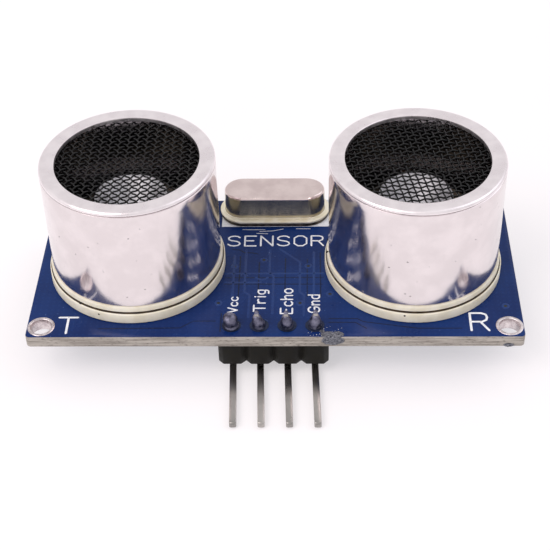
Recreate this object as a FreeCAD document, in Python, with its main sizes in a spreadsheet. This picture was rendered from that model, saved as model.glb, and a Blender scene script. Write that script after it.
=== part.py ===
import FreeCAD, Part
import math
import os

import Sketcher

# An ultrasonic distance sensor: two open 40 kHz transducers, a crystal and a right-angle pin header
# on a small printed circuit board, with the driving and receiving electronics on its back.
#
# Frame: X runs along the board, Y across it, away from the header, and Z out of the transducers.
# The origin is the centre of the four mounting holes, on the board's back face.

# Driving dimensions in millimetres: (alias, value, what it is).
DIMENSIONS = [
    ("board_length", 45.3, "board along X"),
    ("board_depth", 20.0, "board along Y"),
    ("board_thickness", 1.2, "laminate with its copper and mask"),
    ("board_corner", 0.4, "corner radius of the routed outline"),
    ("hole_spacing_x", 42.7, "mounting holes, centre to centre along X"),
    ("hole_spacing_y", 17.2, "mounting holes, centre to centre along Y"),
    ("hole_bore", 1.9, "mounting hole diameter inside its plating"),
    ("hole_ring", 2.5, "outside diameter of the tinned ring"),
    ("plating", 0.05, "plating on the wall of every plated hole"),
    ("foil", 0.04, "height of rings and lands above the board's faces"),
    ("layout_shift", -0.1, "how far the parts' common centre line is off the board's centre"),
    ("transducer_spacing", 26.2, "centre to centre of the two transducers"),
    ("transducer_row", 0.1, "transducer centres along Y"),
    ("can_diameter", 16.0, "outside of the aluminium can"),
    ("can_wall", 0.4, "can wall"),
    ("can_top", 12.55, "top of the rim above the board's front face"),
    ("rim_opening", 13.1, "diameter of the opening in the rim"),
    ("rim_thickness", 0.45, "thickness of the turned-in rim"),
    ("rim_round", 0.35, "outer rounding of the rim"),
    ("collar_diameter", 16.7, "moulded base outside the can"),
    ("flange_height", 0.9, "lower band of the moulded base"),
    ("groove_height", 0.12, "groove between the two bands"),
    ("groove_depth", 0.25, "depth of that groove"),
    ("collar_height", 0.75, "upper band, which the can stands on"),
    ("plug_height", 1.05, "base plug inside the can"),
    ("pedestal_diameter", 8.9, "step that carries the soft seat"),
    ("pedestal_height", 1.0, "height of that step"),
    ("recess_diameter", 7.0, "recess in the top of the step"),
    ("recess_depth", 0.7, "depth of that recess"),
    ("seat_outer", 10.0, "soft silicone seat, outside diameter"),
    ("seat_inner", 7.8, "soft silicone seat, inside diameter"),
    ("seat_height", 1.9, "soft silicone seat, height"),
    ("seat_slot", 0.8, "slot in the seat for one lead wire"),
    ("plate_diameter", 11.0, "vibrating metal plate"),
    ("plate_thickness", 0.25, "vibrating metal plate"),
    ("piezo_diameter", 7.4, "piezoelectric ceramic disc"),
    ("piezo_thickness", 0.5, "piezoelectric ceramic disc"),
    ("cone_foot", 2.4, "diameter of the cone's glued foot"),
    ("cone_mouth", 6.8, "diameter of the cone's open mouth"),
    ("cone_height", 2.3, "height of the cone"),
    ("cone_wall", 0.2, "wall of the cone"),
    ("mesh_diameter", 15.0, "woven mesh disc under the rim"),
    ("mesh_wire", 0.2, "diameter of a mesh wire"),
    ("mesh_pitch", 0.59, "distance between neighbouring wires"),
    ("mesh_turn_sender", 45.0, "degrees from X to one set of wires"),
    ("mesh_turn_receiver", 10.0, "degrees from X to one set of wires"),
    ("terminal_spacing", 10.0, "transducer terminals, centre to centre along Y"),
    ("terminal_diameter", 0.8, "transducer terminal"),
    ("terminal_bore", 1.0, "its plated hole in the board"),
    ("terminal_land", 2.2, "outside diameter of its ring"),
    ("terminal_tail", 1.3, "how far it stands out behind the board"),
    ("terminal_head", 0.7, "how far it stands above the base plug"),
    ("wire_diameter", 0.16, "lead wires inside a transducer"),
    ("wire_bend", 0.3, "bend radius of the lead wires"),
    ("pin_pitch", 2.54, "header pins, centre to centre"),
    ("pin_width", 0.64, "square header pin"),
    ("pin_row", -8.5, "header pin row along Y"),
    ("pin_front", 1.9, "how far a pin stands above the board's front face"),
    ("pin_run", 3.6, "depth of the horizontal run's centre line behind the board"),
    ("pin_reach", 16.5, "distance from the origin to the pin tips, along -Y"),
    ("pin_bend", 0.6, "bend radius of a pin's centre line"),
    ("pin_point", 0.18, "bevel at both ends of a pin"),
    ("pin_bore", 1.0, "plated hole for a pin"),
    ("pin_land", 1.75, "outside diameter of its ring"),
    ("housing_depth", 2.5, "header housing along Y"),
    ("housing_height", 2.5, "header housing along Z"),
    ("housing_notch", 0.45, "depth of the notches where the strip snaps apart"),
    ("crystal_x", -0.25, "crystal centre along X"),
    ("crystal_y", 8.05, "crystal centre along Y"),
    ("crystal_length", 9.9, "crystal can without its brim"),
    ("crystal_width", 3.45, "crystal can without its brim"),
    ("brim_length", 10.9, "welded brim of the crystal"),
    ("brim_width", 4.8, "welded brim of the crystal"),
    ("brim_thickness", 0.2, "brim of the can"),
    ("crystal_base_height", 0.4, "steel base under the brim"),
    ("crystal_height", 3.1, "top of the crystal above the board's front face"),
    ("crystal_wall", 0.2, "wall of the crystal can"),
    ("crystal_round", 0.3, "rounding of the crystal can's top edge"),
    ("crystal_lead_spacing", 4.88, "crystal leads, centre to centre"),
    ("crystal_lead", 0.43, "crystal lead diameter"),
    ("crystal_lead_tail", 1.2, "how far a lead stands out behind the board"),
    ("crystal_lead_head", 1.0, "top of a lead above the board's front face"),
    ("crystal_bore", 0.6, "plated hole for a crystal lead"),
    ("crystal_land", 1.5, "outside diameter of its ring"),
    ("seal_diameter", 1.2, "glass bead round a crystal lead"),
    ("quartz_length", 8.0, "quartz blank"),
    ("quartz_width", 1.8, "quartz blank"),
    ("quartz_thickness", 0.17, "quartz blank"),
    ("quartz_level", 1.45, "underside of the blank above the board's front face"),
    ("electrode_length", 5.0, "silver film on each face of the blank"),
    ("electrode_width", 1.2, "silver film on each face of the blank"),
    ("electrode_film", 0.02, "thickness of a film"),
    ("clip_width", 0.9, "spring clip across the blank"),
    ("clip_sheet", 0.15, "sheet thickness of a clip"),
    ("solder_tip", 0.9, "diameter at the top of a solder cone"),
    ("solder_rise", 1.3, "height of a solder cone over its ring"),
    ("land_height", 0.05, "tinned lands of the surface-mounted parts"),
    ("chip_width", 3.9, "moulded chip body across its leads"),
    ("chip_short", 8.65, "length of a 14-lead chip"),
    ("chip_long", 9.9, "length of a 16-lead chip"),
    ("chip_height", 1.45, "moulded chip body"),
    ("chip_gap", 0.15, "gap under a chip body"),
    ("chip_draft", 0.12, "how far the moulded sides lean in"),
    ("lead_pitch", 1.27, "chip leads, centre to centre"),
    ("lead_width", 0.4, "chip lead"),
    ("lead_sheet", 0.2, "chip lead sheet thickness"),
    ("lead_span", 6.0, "over the toes of a chip's leads"),
    ("lead_foot", 0.6, "flat foot of a lead"),
    ("die_length", 2.2, "silicon die"),
    ("die_width", 1.6, "silicon die"),
    ("die_height", 0.3, "silicon die"),
    ("passive_length", 1.6, "resistor or capacitor over its ends"),
    ("passive_width", 0.8, "resistor or capacitor"),
    ("resistor_height", 0.45, "resistor"),
    ("capacitor_height", 0.8, "capacitor"),
    ("passive_end", 0.3, "length of a metal end"),
    ("transistor_length", 2.9, "three-lead transistor body"),
    ("transistor_width", 1.3, "three-lead transistor body"),
    ("transistor_height", 1.0, "three-lead transistor body"),
    ("transistor_span", 2.5, "over the toes of its leads"),
    ("transistor_pitch", 1.9, "distance between its two paired leads"),
]

# Where the parts on the back face lie: centre in millimetres, and whether the part's length runs along Y.
RESISTORS = [
    (-7.0, 6.2, False), (-4.4, 6.2, False), (5.4, 5.2, False), (8.0, 5.2, False),
    (-19.6, 3.0, True), (-19.6, 0.0, True), (-19.6, -3.0, True), (-6.6, 0.6, True),
    (6.6, 1.4, True), (6.6, -1.6, True), (19.4, 3.0, True), (19.4, 0.0, True),
    (19.4, -3.0, True), (9.2, -6.0, False), (-9.4, -6.2, False), (17.2, -6.0, False),
]
CAPACITORS = [
    (-17.2, 6.2, False), (-9.6, 6.2, False), (17.2, 6.0, False), (-6.6, -2.6, True),
    (-17.0, -6.2, False), (4.2, -4.6, False), (-4.2, -4.6, False), (0.0, -4.6, False),
]
TRANSISTOR_CENTRE = (10.6, 7.2)

SHEET_NAME = "Dimensions"
PIN_NAMES = ["vcc", "trig", "echo", "gnd"]


class Size:
    """A length together with the spreadsheet expression that drives it."""

    def __init__(self, value, text=None):
        self.value = float(value)
        self.text = text if text is not None else "%.6f" % value

    def __add__(self, other):
        other = as_size(other)
        return Size(self.value + other.value, "(%s + %s)" % (self.text, other.text))

    def __sub__(self, other):
        other = as_size(other)
        return Size(self.value - other.value, "(%s - %s)" % (self.text, other.text))

    def __mul__(self, number):
        return Size(self.value * number, "(%s * %.6f)" % (self.text, number))

    def __neg__(self):
        return Size(-self.value, "(-1 * %s)" % self.text)

    @property
    def half(self):
        """Half of this length."""
        return self * 0.5


def as_size(value):
    """Return value as a Size, so that plain numbers and sizes mix."""
    return value if isinstance(value, Size) else Size(value)


class Dimensions:
    """The spreadsheet of driving dimensions; each alias reads as an attribute of type Size."""

    def __init__(self, document, rows):
        self._sheet = document.addObject("Spreadsheet::Sheet", SHEET_NAME)
        for number, (alias, value, meaning) in enumerate(rows, start=1):
            self._sheet.set("A%d" % number, alias)
            self._sheet.set("B%d" % number, "%g" % value)
            self._sheet.set("C%d" % number, meaning)
            self._sheet.setAlias("B%d" % number, alias)
        document.recompute()

    def __getattr__(self, alias):
        return Size(self._sheet.get(alias), "%s.%s" % (SHEET_NAME, alias))


doc = FreeCAD.newDocument("UltrasonicSensor")
D = Dimensions(doc, DIMENSIONS)
nodes = []


# ---------------------------------------------------------------------------------------------------
# Helpers
# ---------------------------------------------------------------------------------------------------

def bind(item, path, size):
    """Drive one property of a document object from the sheet."""
    item.setExpression(path, as_size(size).text)


def place(item, x=0, y=0, z=0):
    """Drive an object's position from the sheet."""
    for axis, size in (("x", x), ("y", y), ("z", z)):
        if as_size(size).value != 0:
            bind(item, "Placement.Base." + axis, size)


def as_node(item, label):
    """Name a finished sub-part and list it for checking and writing."""
    item.Label = label
    nodes.append(item)
    return item


def group(label, items):
    """Join identical or paired pieces, as separate solids, into one sub-part."""
    compound = doc.addObject("Part::Compound", label)
    compound.Links = items
    return as_node(compound, label)


def box(name, x, y, z, length, width, height):
    """A block centred on x and y that stands on z."""
    block = doc.addObject("Part::Box", name)
    bind(block, "Length", length)
    bind(block, "Width", width)
    bind(block, "Height", height)
    place(block, as_size(x) - as_size(length).half, as_size(y) - as_size(width).half, z)
    return block


def cylinder(name, x, y, z, diameter, height):
    """An upright cylinder that stands on z."""
    rod = doc.addObject("Part::Cylinder", name)
    bind(rod, "Radius", as_size(diameter).half)
    bind(rod, "Height", height)
    place(rod, x, y, z)
    return rod


def cut(name, base, tool):
    """Base without tool."""
    result = doc.addObject("Part::Cut", name)
    result.Base = base
    result.Tool = tool
    return result


def new_body(name, x=0, y=0, z=0):
    """A PartDesign body; it may hold several solids when the sub-part is a set of equal pieces."""
    body = doc.addObject("PartDesign::Body", name)
    body.AllowCompound = True
    place(body, x, y, z)
    return body


def origin_feature(body, role):
    """One of a body's own origin planes or axes."""
    return next(feature for feature in body.Origin.OriginFeatures if feature.Role == role)


def new_sketch(body, name, role, offset=0):
    """A sketch on one of the body's origin planes, moved along the plane's normal by offset."""
    sketch = body.newObject("Sketcher::SketchObject", name)
    sketch.AttachmentSupport = [(origin_feature(body, role), "")]
    sketch.MapMode = "FlatFace"
    if as_size(offset).value != 0:
        bind(sketch, "AttachmentOffset.Base.z", offset)
    return sketch


def hold(sketch, geometry, vertex, x, y):
    """Fix one point of a sketch at x, y, both driven by the sheet."""
    for kind, axis, size in (("DistanceX", -2, as_size(x)), ("DistanceY", -1, as_size(y))):
        if size.value == 0:
            sketch.addConstraint(Sketcher.Constraint("PointOnObject", geometry, vertex, axis))
        else:
            index = sketch.addConstraint(
                Sketcher.Constraint(kind, -1, 1, geometry, vertex, size.value))
            sketch.setExpression("Constraints[%d]" % index, size.text)


def point(x, y):
    """A sketch point at the present values of two sizes."""
    return FreeCAD.Vector(as_size(x).value, as_size(y).value, 0)


def polygon(sketch, corners):
    """Add a closed outline of straight lines to a sketch."""
    first = sketch.GeometryCount
    count = len(corners)
    for index, (x, y) in enumerate(corners):
        next_x, next_y = corners[(index + 1) % count]
        sketch.addGeometry(Part.LineSegment(point(x, y), point(next_x, next_y)), False)
    for index in range(count):
        following = first + (index + 1) % count
        sketch.addConstraint(Sketcher.Constraint("Coincident", first + index, 2, following, 1))
    for index, (x, y) in enumerate(corners):
        hold(sketch, first + index, 1, x, y)


def rectangle(sketch, x, y, length, width):
    """Add a rectangle centred on x, y to a sketch."""
    x = as_size(x)
    y = as_size(y)
    left, right = x - as_size(length).half, x + as_size(length).half
    near, far = y - as_size(width).half, y + as_size(width).half
    polygon(sketch, [(left, near), (right, near), (right, far), (left, far)])


def circle(sketch, x, y, diameter):
    """Add a circle to a sketch."""
    radius = as_size(diameter).half
    index = sketch.addGeometry(Part.Circle(point(x, y), FreeCAD.Vector(0, 0, 1), radius.value), False)
    hold(sketch, index, 3, x, y)
    constraint = sketch.addConstraint(Sketcher.Constraint("Radius", index, radius.value))
    sketch.setExpression("Constraints[%d]" % constraint, radius.text)


def stadium(sketch, length, width):
    """Add an outline with two straight sides and two round ends, centred on the sketch's origin."""
    radius = as_size(width).half
    centre = as_size(length).half - radius
    first = sketch.GeometryCount
    for index, (side, start) in enumerate(((1, -math.pi / 2), (-1, math.pi / 2))):
        disc = Part.Circle(point(centre * side, 0), FreeCAD.Vector(0, 0, 1), radius.value)
        sketch.addGeometry(Part.ArcOfCircle(disc, start, start + math.pi), False)
        hold(sketch, first + index, 3, centre * side, 0)
        constraint = sketch.addConstraint(Sketcher.Constraint("Radius", first + index, radius.value))
        sketch.setExpression("Constraints[%d]" % constraint, radius.text)
    for side in (1, -1):
        sketch.addGeometry(
            Part.LineSegment(point(centre * side, radius * side), point(centre * -side, radius * side)),
            False)
    for arc, arc_end, line, line_end in ((0, 2, 2, 1), (2, 2, 1, 1), (1, 2, 3, 1), (3, 2, 0, 1)):
        sketch.addConstraint(
            Sketcher.Constraint("Tangent", first + arc, arc_end, first + line, line_end))


def bent_path(sketch, corners, bend):
    """Add an open path of upright and level runs, joined by tangent arcs of one radius."""
    places = [point(x, y) for x, y in corners]
    ways = [(after - before).normalize() for before, after in zip(places, places[1:])]
    last = len(ways) - 1
    runs = []
    for index, way in enumerate(ways):
        start = places[index] + way * (bend.value if index > 0 else 0)
        end = places[index + 1] - way * (bend.value if index < last else 0)
        run = sketch.addGeometry(Part.LineSegment(start, end), False)
        level = abs(way.y) < 0.5
        sketch.addConstraint(Sketcher.Constraint("Horizontal" if level else "Vertical", run))
        if 0 < index < last:
            kind, size = ("DistanceY", corners[index][1]) if level else ("DistanceX", corners[index][0])
            constraint = sketch.addConstraint(Sketcher.Constraint(kind, -1, 1, run, 1, size.value))
            sketch.setExpression("Constraints[%d]" % constraint, size.text)
        runs.append(run)
    hold(sketch, runs[0], 1, *corners[0])
    hold(sketch, runs[-1], 2, *corners[-1])
    for index in range(last):
        before, after = ways[index], ways[index + 1]
        middle = places[index + 1] + (after - before) * bend.value
        disc = Part.Circle(middle, FreeCAD.Vector(0, 0, 1), bend.value)
        leftwards = before.x * after.y - before.y * after.x > 0
        enter = math.atan2(-after.y, -after.x)
        leave = math.atan2(before.y, before.x)
        first, second = (enter, leave) if leftwards else (leave, enter)
        if second < first:
            second += 2 * math.pi
        arc = sketch.addGeometry(Part.ArcOfCircle(disc, first, second), False)
        constraint = sketch.addConstraint(Sketcher.Constraint("Radius", arc, bend.value))
        sketch.setExpression("Constraints[%d]" % constraint, bend.text)
        near, far = (1, 2) if leftwards else (2, 1)
        sketch.addConstraint(Sketcher.Constraint("Tangent", runs[index], 2, arc, near))
        sketch.addConstraint(Sketcher.Constraint("Tangent", arc, far, runs[index + 1], 1))


def path_edges(sketch):
    """Names of all the edges of a path."""
    return ["Edge%d" % (number + 1) for number in range(sketch.GeometryCount)]


def pad(body, sketch, length, midplane=False, backwards=False):
    """Extrude a sketch."""
    feature = body.newObject("PartDesign::Pad", sketch.Name + "_pad")
    feature.Profile = sketch
    bind(feature, "Length", length)
    feature.Midplane = midplane
    feature.Reversed = backwards
    body.Tip = feature
    return feature


def pocket(body, sketch, depth=None, backwards=False):
    """Cut a sketch's outline out of a body: to a depth, or right through both ways."""
    doc.recompute()
    volume = body.Shape.Volume
    feature = body.newObject("PartDesign::Pocket", sketch.Name + "_pocket")
    feature.Profile = sketch
    if depth is None:
        feature.Type = "ThroughAll"
        feature.Midplane = True
    else:
        bind(feature, "Length", depth)
        feature.Reversed = backwards
    body.Tip = feature
    doc.recompute()
    if not body.Shape.Volume < volume:
        raise RuntimeError("%s cuts nothing" % feature.Name)
    return feature


def revolve(body, sketch):
    """Turn a sketch once round its own vertical axis."""
    feature = body.newObject("PartDesign::Revolution", sketch.Name + "_turn")
    feature.Profile = sketch
    feature.ReferenceAxis = (sketch, ["V_Axis"])
    feature.Angle = 360
    body.Tip = feature
    return feature


def turned(name, profile, x=0, y=0, z=0):
    """A body of revolution about a vertical axis; profile lists radius and height."""
    body = new_body(name, x, y, z)
    sketch = new_sketch(body, name + "_profile", "XZ_Plane")
    polygon(sketch, profile)
    revolve(body, sketch)
    return body


def edges_where(feature, test):
    """Names of the edges of a feature that pass a test."""
    doc.recompute()
    return ["Edge%d" % number for number, edge in enumerate(feature.Shape.Edges, start=1) if test(edge)]


def dress(body, kind, feature, edges, size):
    """Round or bevel the named edges of a feature."""
    result = body.newObject("PartDesign::" + kind, feature.Name + "_" + kind.lower())
    result.Base = (feature, edges)
    bind(result, "Radius" if kind == "Fillet" else "Size", size)
    body.Tip = result
    return result


def is_vertical(edge):
    """True for a straight edge along Z."""
    return len(edge.Vertexes) == 2 and abs(edge.tangentAt(edge.FirstParameter).z) > 0.999


# ---------------------------------------------------------------------------------------------------
# Shared places
# ---------------------------------------------------------------------------------------------------

front = D.board_thickness
seat = front + D.foil
hole_centres = [(D.hole_spacing_x.half * sx, D.hole_spacing_y.half * sy)
                for sx in (-1, 1) for sy in (-1, 1)]
sender_x = D.layout_shift - D.transducer_spacing.half
receiver_x = D.layout_shift + D.transducer_spacing.half
transducer_y = D.transducer_row
terminal_centres = [(x, transducer_y + D.terminal_spacing.half * side)
                    for x in (sender_x, receiver_x) for side in (-1, 1)]
pin_xs = [D.layout_shift + D.pin_pitch * (index - 1.5) for index in range(len(PIN_NAMES))]
crystal_lead_centres = [(D.crystal_x + D.crystal_lead_spacing.half * side, D.crystal_y)
                        for side in (-1, 1)]


# ---------------------------------------------------------------------------------------------------
# Board and plated holes
# ---------------------------------------------------------------------------------------------------

def make_board():
    """The laminate, with every hole drilled to the outside of its plating."""
    body = new_body("pcb_board")
    outline = new_sketch(body, "board_outline", "XY_Plane")
    rectangle(outline, 0, 0, D.board_length, D.board_depth)
    plate = pad(body, outline, D.board_thickness)
    dress(body, "Fillet", plate, edges_where(plate, is_vertical), D.board_corner)
    drilling = new_sketch(body, "board_drilling", "XY_Plane")
    wall = D.plating * 2
    for x, y in hole_centres:
        circle(drilling, x, y, D.hole_bore + wall)
    for x, y in terminal_centres:
        circle(drilling, x, y, D.terminal_bore + wall)
    for x in pin_xs:
        circle(drilling, x, D.pin_row, D.pin_bore + wall)
    for x, y in crystal_lead_centres:
        circle(drilling, x, y, D.crystal_bore + wall)
    pocket(body, drilling)
    as_node(body, "pcb_board")


def make_plated_holes(label, centres, bore, land):
    """Tinned rings on both faces, joined by the plating through the hole."""
    body = new_body(label)
    layers = [("back", -D.foil, D.foil, land),
              ("barrel", as_size(0), D.board_thickness, bore + D.plating * 2),
              ("front", front, D.foil, land)]
    for layer, level, height, outside in layers:
        sketch = new_sketch(body, "%s_%s" % (label, layer), "XY_Plane", level)
        for x, y in centres:
            circle(sketch, x, y, outside)
            circle(sketch, x, y, bore)
        pad(body, sketch, height)
    as_node(body, label)


def make_solder(label, centres, bore, land, lead, faces_front, square=False):
    """Solder that fills each plated hole round its lead and rises as a cone over the ring."""
    joints = []
    for number, (x, y) in enumerate(centres, start=1):
        name = "%s_%d" % (label, number)
        fill = cylinder(name + "_fill", x, y, -D.foil, bore, D.board_thickness + D.foil * 2)
        cone = doc.addObject("Part::Cone", name + "_cone")
        bind(cone, "Height", D.solder_rise)
        wide = land.half
        narrow = D.solder_tip.half
        bind(cone, "Radius1", wide if faces_front else narrow)
        bind(cone, "Radius2", narrow if faces_front else wide)
        foot = front + D.foil if faces_front else -D.foil - D.solder_rise
        place(cone, x, y, foot)
        joint = doc.addObject("Part::Fuse", name + "_joint")
        joint.Base = fill
        joint.Tool = cone
        length = D.board_thickness + D.solder_rise * 4
        start = -(D.solder_rise * 2)
        if square:
            core = box(name + "_lead", x, y, start, lead, lead, length)
        else:
            core = cylinder(name + "_lead", x, y, start, lead, length)
        joints.append(cut(name, joint, core))
    group(label, joints)


# ---------------------------------------------------------------------------------------------------
# Pin header
# ---------------------------------------------------------------------------------------------------

def make_header_housing():
    """The black strip under the board, notched between its four positions."""
    body = new_body("header_housing", D.layout_shift, D.pin_row, 0)
    outline = new_sketch(body, "housing_outline", "XY_Plane", -D.foil)
    near = []
    far = []
    for index in range(len(PIN_NAMES)):
        left = D.pin_pitch * (index - 2)
        right = D.pin_pitch * (index - 1)
        side = D.housing_depth.half
        inner = side - D.housing_notch
        near += [(left, -inner), (left + D.housing_notch, -side),
                 (right - D.housing_notch, -side)]
        far += [(left + D.housing_notch, side), (right - D.housing_notch, side), (right, inner)]
    end = D.pin_pitch * 2
    near.append((end, -(D.housing_depth.half - D.housing_notch)))
    corners = near + far[::-1]
    corners.append((-end, D.housing_depth.half - D.housing_notch))
    polygon(outline, corners)
    pad(body, outline, D.housing_height, backwards=True)
    sockets = new_sketch(body, "housing_sockets", "XY_Plane")
    for index in range(len(PIN_NAMES)):
        rectangle(sockets, D.pin_pitch * (index - 1.5), 0, D.pin_width, D.pin_width)
    pocket(body, sockets)
    as_node(body, "header_housing")


def make_header_pin(name, x):
    """A square pin: down through the board and the housing, then forward past the board's edge."""
    body = new_body("header_pin_" + name, x, D.pin_row, 0)
    top = front + D.pin_front
    section = new_sketch(body, name + "_section", "XY_Plane", top)
    rectangle(section, 0, 0, D.pin_width, D.pin_width)
    path = new_sketch(body, name + "_path", "YZ_Plane")
    level = -D.pin_run
    reach = -(D.pin_reach + D.pin_row)
    bent_path(path, [(0, top), (0, level), (reach, level)], D.pin_bend)
    pipe = body.newObject("PartDesign::AdditivePipe", name + "_pipe")
    pipe.Profile = section
    pipe.Spine = (path, path_edges(path))
    body.Tip = pipe

    def at_an_end(edge):
        """True for the edges round the two end faces."""
        flat_top = all(abs(vertex.Z - top.value) < 1e-4 for vertex in edge.Vertexes)
        flat_tip = all(abs(vertex.Y - reach.value) < 1e-4 for vertex in edge.Vertexes)
        return flat_top or flat_tip

    dress(body, "Chamfer", pipe, edges_where(pipe, at_an_end), D.pin_point)
    as_node(body, "header_pin_" + name)


# ---------------------------------------------------------------------------------------------------
# Transducers
# ---------------------------------------------------------------------------------------------------

base_top = seat + D.flange_height + D.groove_height + D.collar_height
plug_top = base_top + D.plug_height
pedestal_top = plug_top + D.pedestal_height
plate_level = pedestal_top + D.seat_height
cone_level = plate_level + D.plate_thickness
rim_top = front + D.can_top
rim_underside = rim_top - D.rim_thickness


def make_can(prefix, x):
    """The drawn aluminium can: open below, with a turned-in rim round its mouth."""
    outer = D.can_diameter.half
    inner = outer - D.can_wall
    mouth = D.rim_opening.half
    profile = [(inner, base_top), (outer, base_top), (outer, rim_top), (mouth, rim_top),
               (mouth, rim_underside), (inner, rim_underside)]
    body = turned(prefix + "can", profile, x, transducer_y)
    turn = body.Tip

    def outer_top(edge):
        """True for the outer circle at the top of the rim."""
        return (all(abs(vertex.Z - rim_top.value) < 1e-4 for vertex in edge.Vertexes)
                and edge.Length > 6 * outer.value)

    dress(body, "Fillet", turn, edges_where(turn, outer_top), D.rim_round)
    as_node(body, prefix + "can")


def make_mesh(prefix, x, turn):
    """Two crossing layers of straight square wires, joined into a flat grille that sits under the rim."""
    radius = D.mesh_diameter.half.value
    wire = D.mesh_wire.value
    pitch = D.mesh_pitch.value
    last = int((radius - wire) / pitch)
    wires = []
    for layer in (0, 1):
        for index in range(-last, last + 1):
            across = index * pitch
            half_chord = math.sqrt(radius ** 2 - (abs(across) + wire / 2) ** 2)
            level = rim_underside.value - wire * (layer + 1)
            corner = FreeCAD.Vector(-half_chord, across - wire / 2, level)
            rod = Part.makeBox(2 * half_chord, wire, wire, corner)
            rod.rotate(FreeCAD.Vector(0, 0, 0), FreeCAD.Vector(0, 0, 1), turn.value + 90 * layer)
            wires.append(rod)
    mesh = doc.addObject("Part::Feature", prefix + "mesh")
    mesh.Shape = wires[0].multiFuse(wires[1:])
    place(mesh, x, transducer_y)
    as_node(mesh, prefix + "mesh")


def make_cone(prefix, x):
    """The light aluminium cone glued to the middle of the vibrating plate."""
    foot = D.cone_foot.half
    mouth = D.cone_mouth.half
    top = cone_level + D.cone_height
    wall = D.cone_wall
    profile = [(0, cone_level), (foot, cone_level), (mouth, top - wall), (mouth, top),
               (mouth - wall, top), (foot - wall.half, cone_level + wall), (0, cone_level + wall)]
    as_node(turned(prefix + "resonator_cone", profile, x, transducer_y), prefix + "resonator_cone")


def make_round_plate(label, x, diameter, level, thickness):
    """A plain round plate."""
    body = new_body(label, x, transducer_y)
    sketch = new_sketch(body, label + "_outline", "XY_Plane", level)
    circle(sketch, 0, 0, diameter)
    pad(body, sketch, thickness)
    as_node(body, label)


def make_seat(prefix, x):
    """The soft silicone ring under the plate, slotted to let one wire through."""
    label = prefix + "silicone_seat"
    body = new_body(label, x, transducer_y)
    ring = new_sketch(body, label + "_ring", "XY_Plane", pedestal_top)
    circle(ring, 0, 0, D.seat_outer)
    circle(ring, 0, 0, D.seat_inner)
    pad(body, ring, D.seat_height)
    slot = new_sketch(body, label + "_slot", "XY_Plane")
    rectangle(slot, 0, -D.seat_outer.half, D.seat_slot, D.seat_outer - D.seat_inner.half)
    pocket(body, slot)
    as_node(body, label)


def make_base(prefix, x):
    """The moulded base: two outside bands, a plug in the can and a step for the seat."""
    label = prefix + "base"
    band = D.collar_diameter.half
    waist = band - D.groove_depth
    plug = D.can_diameter.half - D.can_wall
    step = D.pedestal_diameter.half
    recess = D.recess_diameter.half
    groove = seat + D.flange_height
    collar = groove + D.groove_height
    floor = pedestal_top - D.recess_depth
    profile = [(0, seat), (band, seat), (band, groove), (waist, groove), (waist, collar),
               (band, collar), (band, base_top), (plug, base_top), (plug, plug_top),
               (step, plug_top), (step, pedestal_top), (recess, pedestal_top), (recess, floor),
               (0, floor)]
    body = turned(label, profile, x, transducer_y)
    holes = new_sketch(body, label + "_holes", "XY_Plane")
    for side in (-1, 1):
        circle(holes, 0, D.terminal_spacing.half * side, D.terminal_diameter)
    pocket(body, holes)
    as_node(body, label)


def make_terminals(prefix, x):
    """The two tinned terminals of one transducer."""
    label = prefix + "terminals"
    length = plug_top + D.terminal_head + D.terminal_tail
    rods = [cylinder("%s_%d" % (label, number), x, transducer_y + D.terminal_spacing.half * side,
                     -D.terminal_tail, D.terminal_diameter, length)
            for number, side in enumerate((-1, 1), start=1)]
    group(label, rods)


def make_lead_wires(prefix, x):
    """Two fine wires: a straight one to the plate and one under the plate to the ceramic disc."""
    label = prefix + "lead_wires"
    start = plug_top + D.terminal_head
    edge_y = D.plate_diameter.half - 0.3
    straight = cylinder(label + "_plate", x, transducer_y + edge_y, start, D.wire_diameter,
                        plate_level - start)
    body = new_body(label + "_disc", x, transducer_y)
    outer_y = -(D.terminal_spacing.half - 0.2)
    inner_y = outer_y + 1.8
    run = start + 1.2
    end = plate_level - D.piezo_thickness
    section = new_sketch(body, label + "_section", "XY_Plane", start)
    circle(section, 0, outer_y, D.wire_diameter)
    path = new_sketch(body, label + "_path", "YZ_Plane")
    corners = [(outer_y, start), (outer_y, run), (inner_y, run), (inner_y, end)]
    bent_path(path, corners, D.wire_bend)
    pipe = body.newObject("PartDesign::AdditivePipe", label + "_pipe")
    pipe.Profile = section
    pipe.Spine = (path, path_edges(path))
    body.Tip = pipe
    group(label, [straight, body])


def make_transducer(prefix, x, mesh_turn):
    """One complete transducer, from the can inwards."""
    make_can(prefix, x)
    make_mesh(prefix, x, mesh_turn)
    make_cone(prefix, x)
    make_round_plate(prefix + "diaphragm", x, D.plate_diameter, plate_level, D.plate_thickness)
    make_round_plate(prefix + "piezo_disc", x, D.piezo_diameter, plate_level - D.piezo_thickness,
                     D.piezo_thickness)
    make_seat(prefix, x)
    make_base(prefix, x)
    make_terminals(prefix, x)
    make_lead_wires(prefix, x)


# ---------------------------------------------------------------------------------------------------
# Crystal
# ---------------------------------------------------------------------------------------------------

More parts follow.
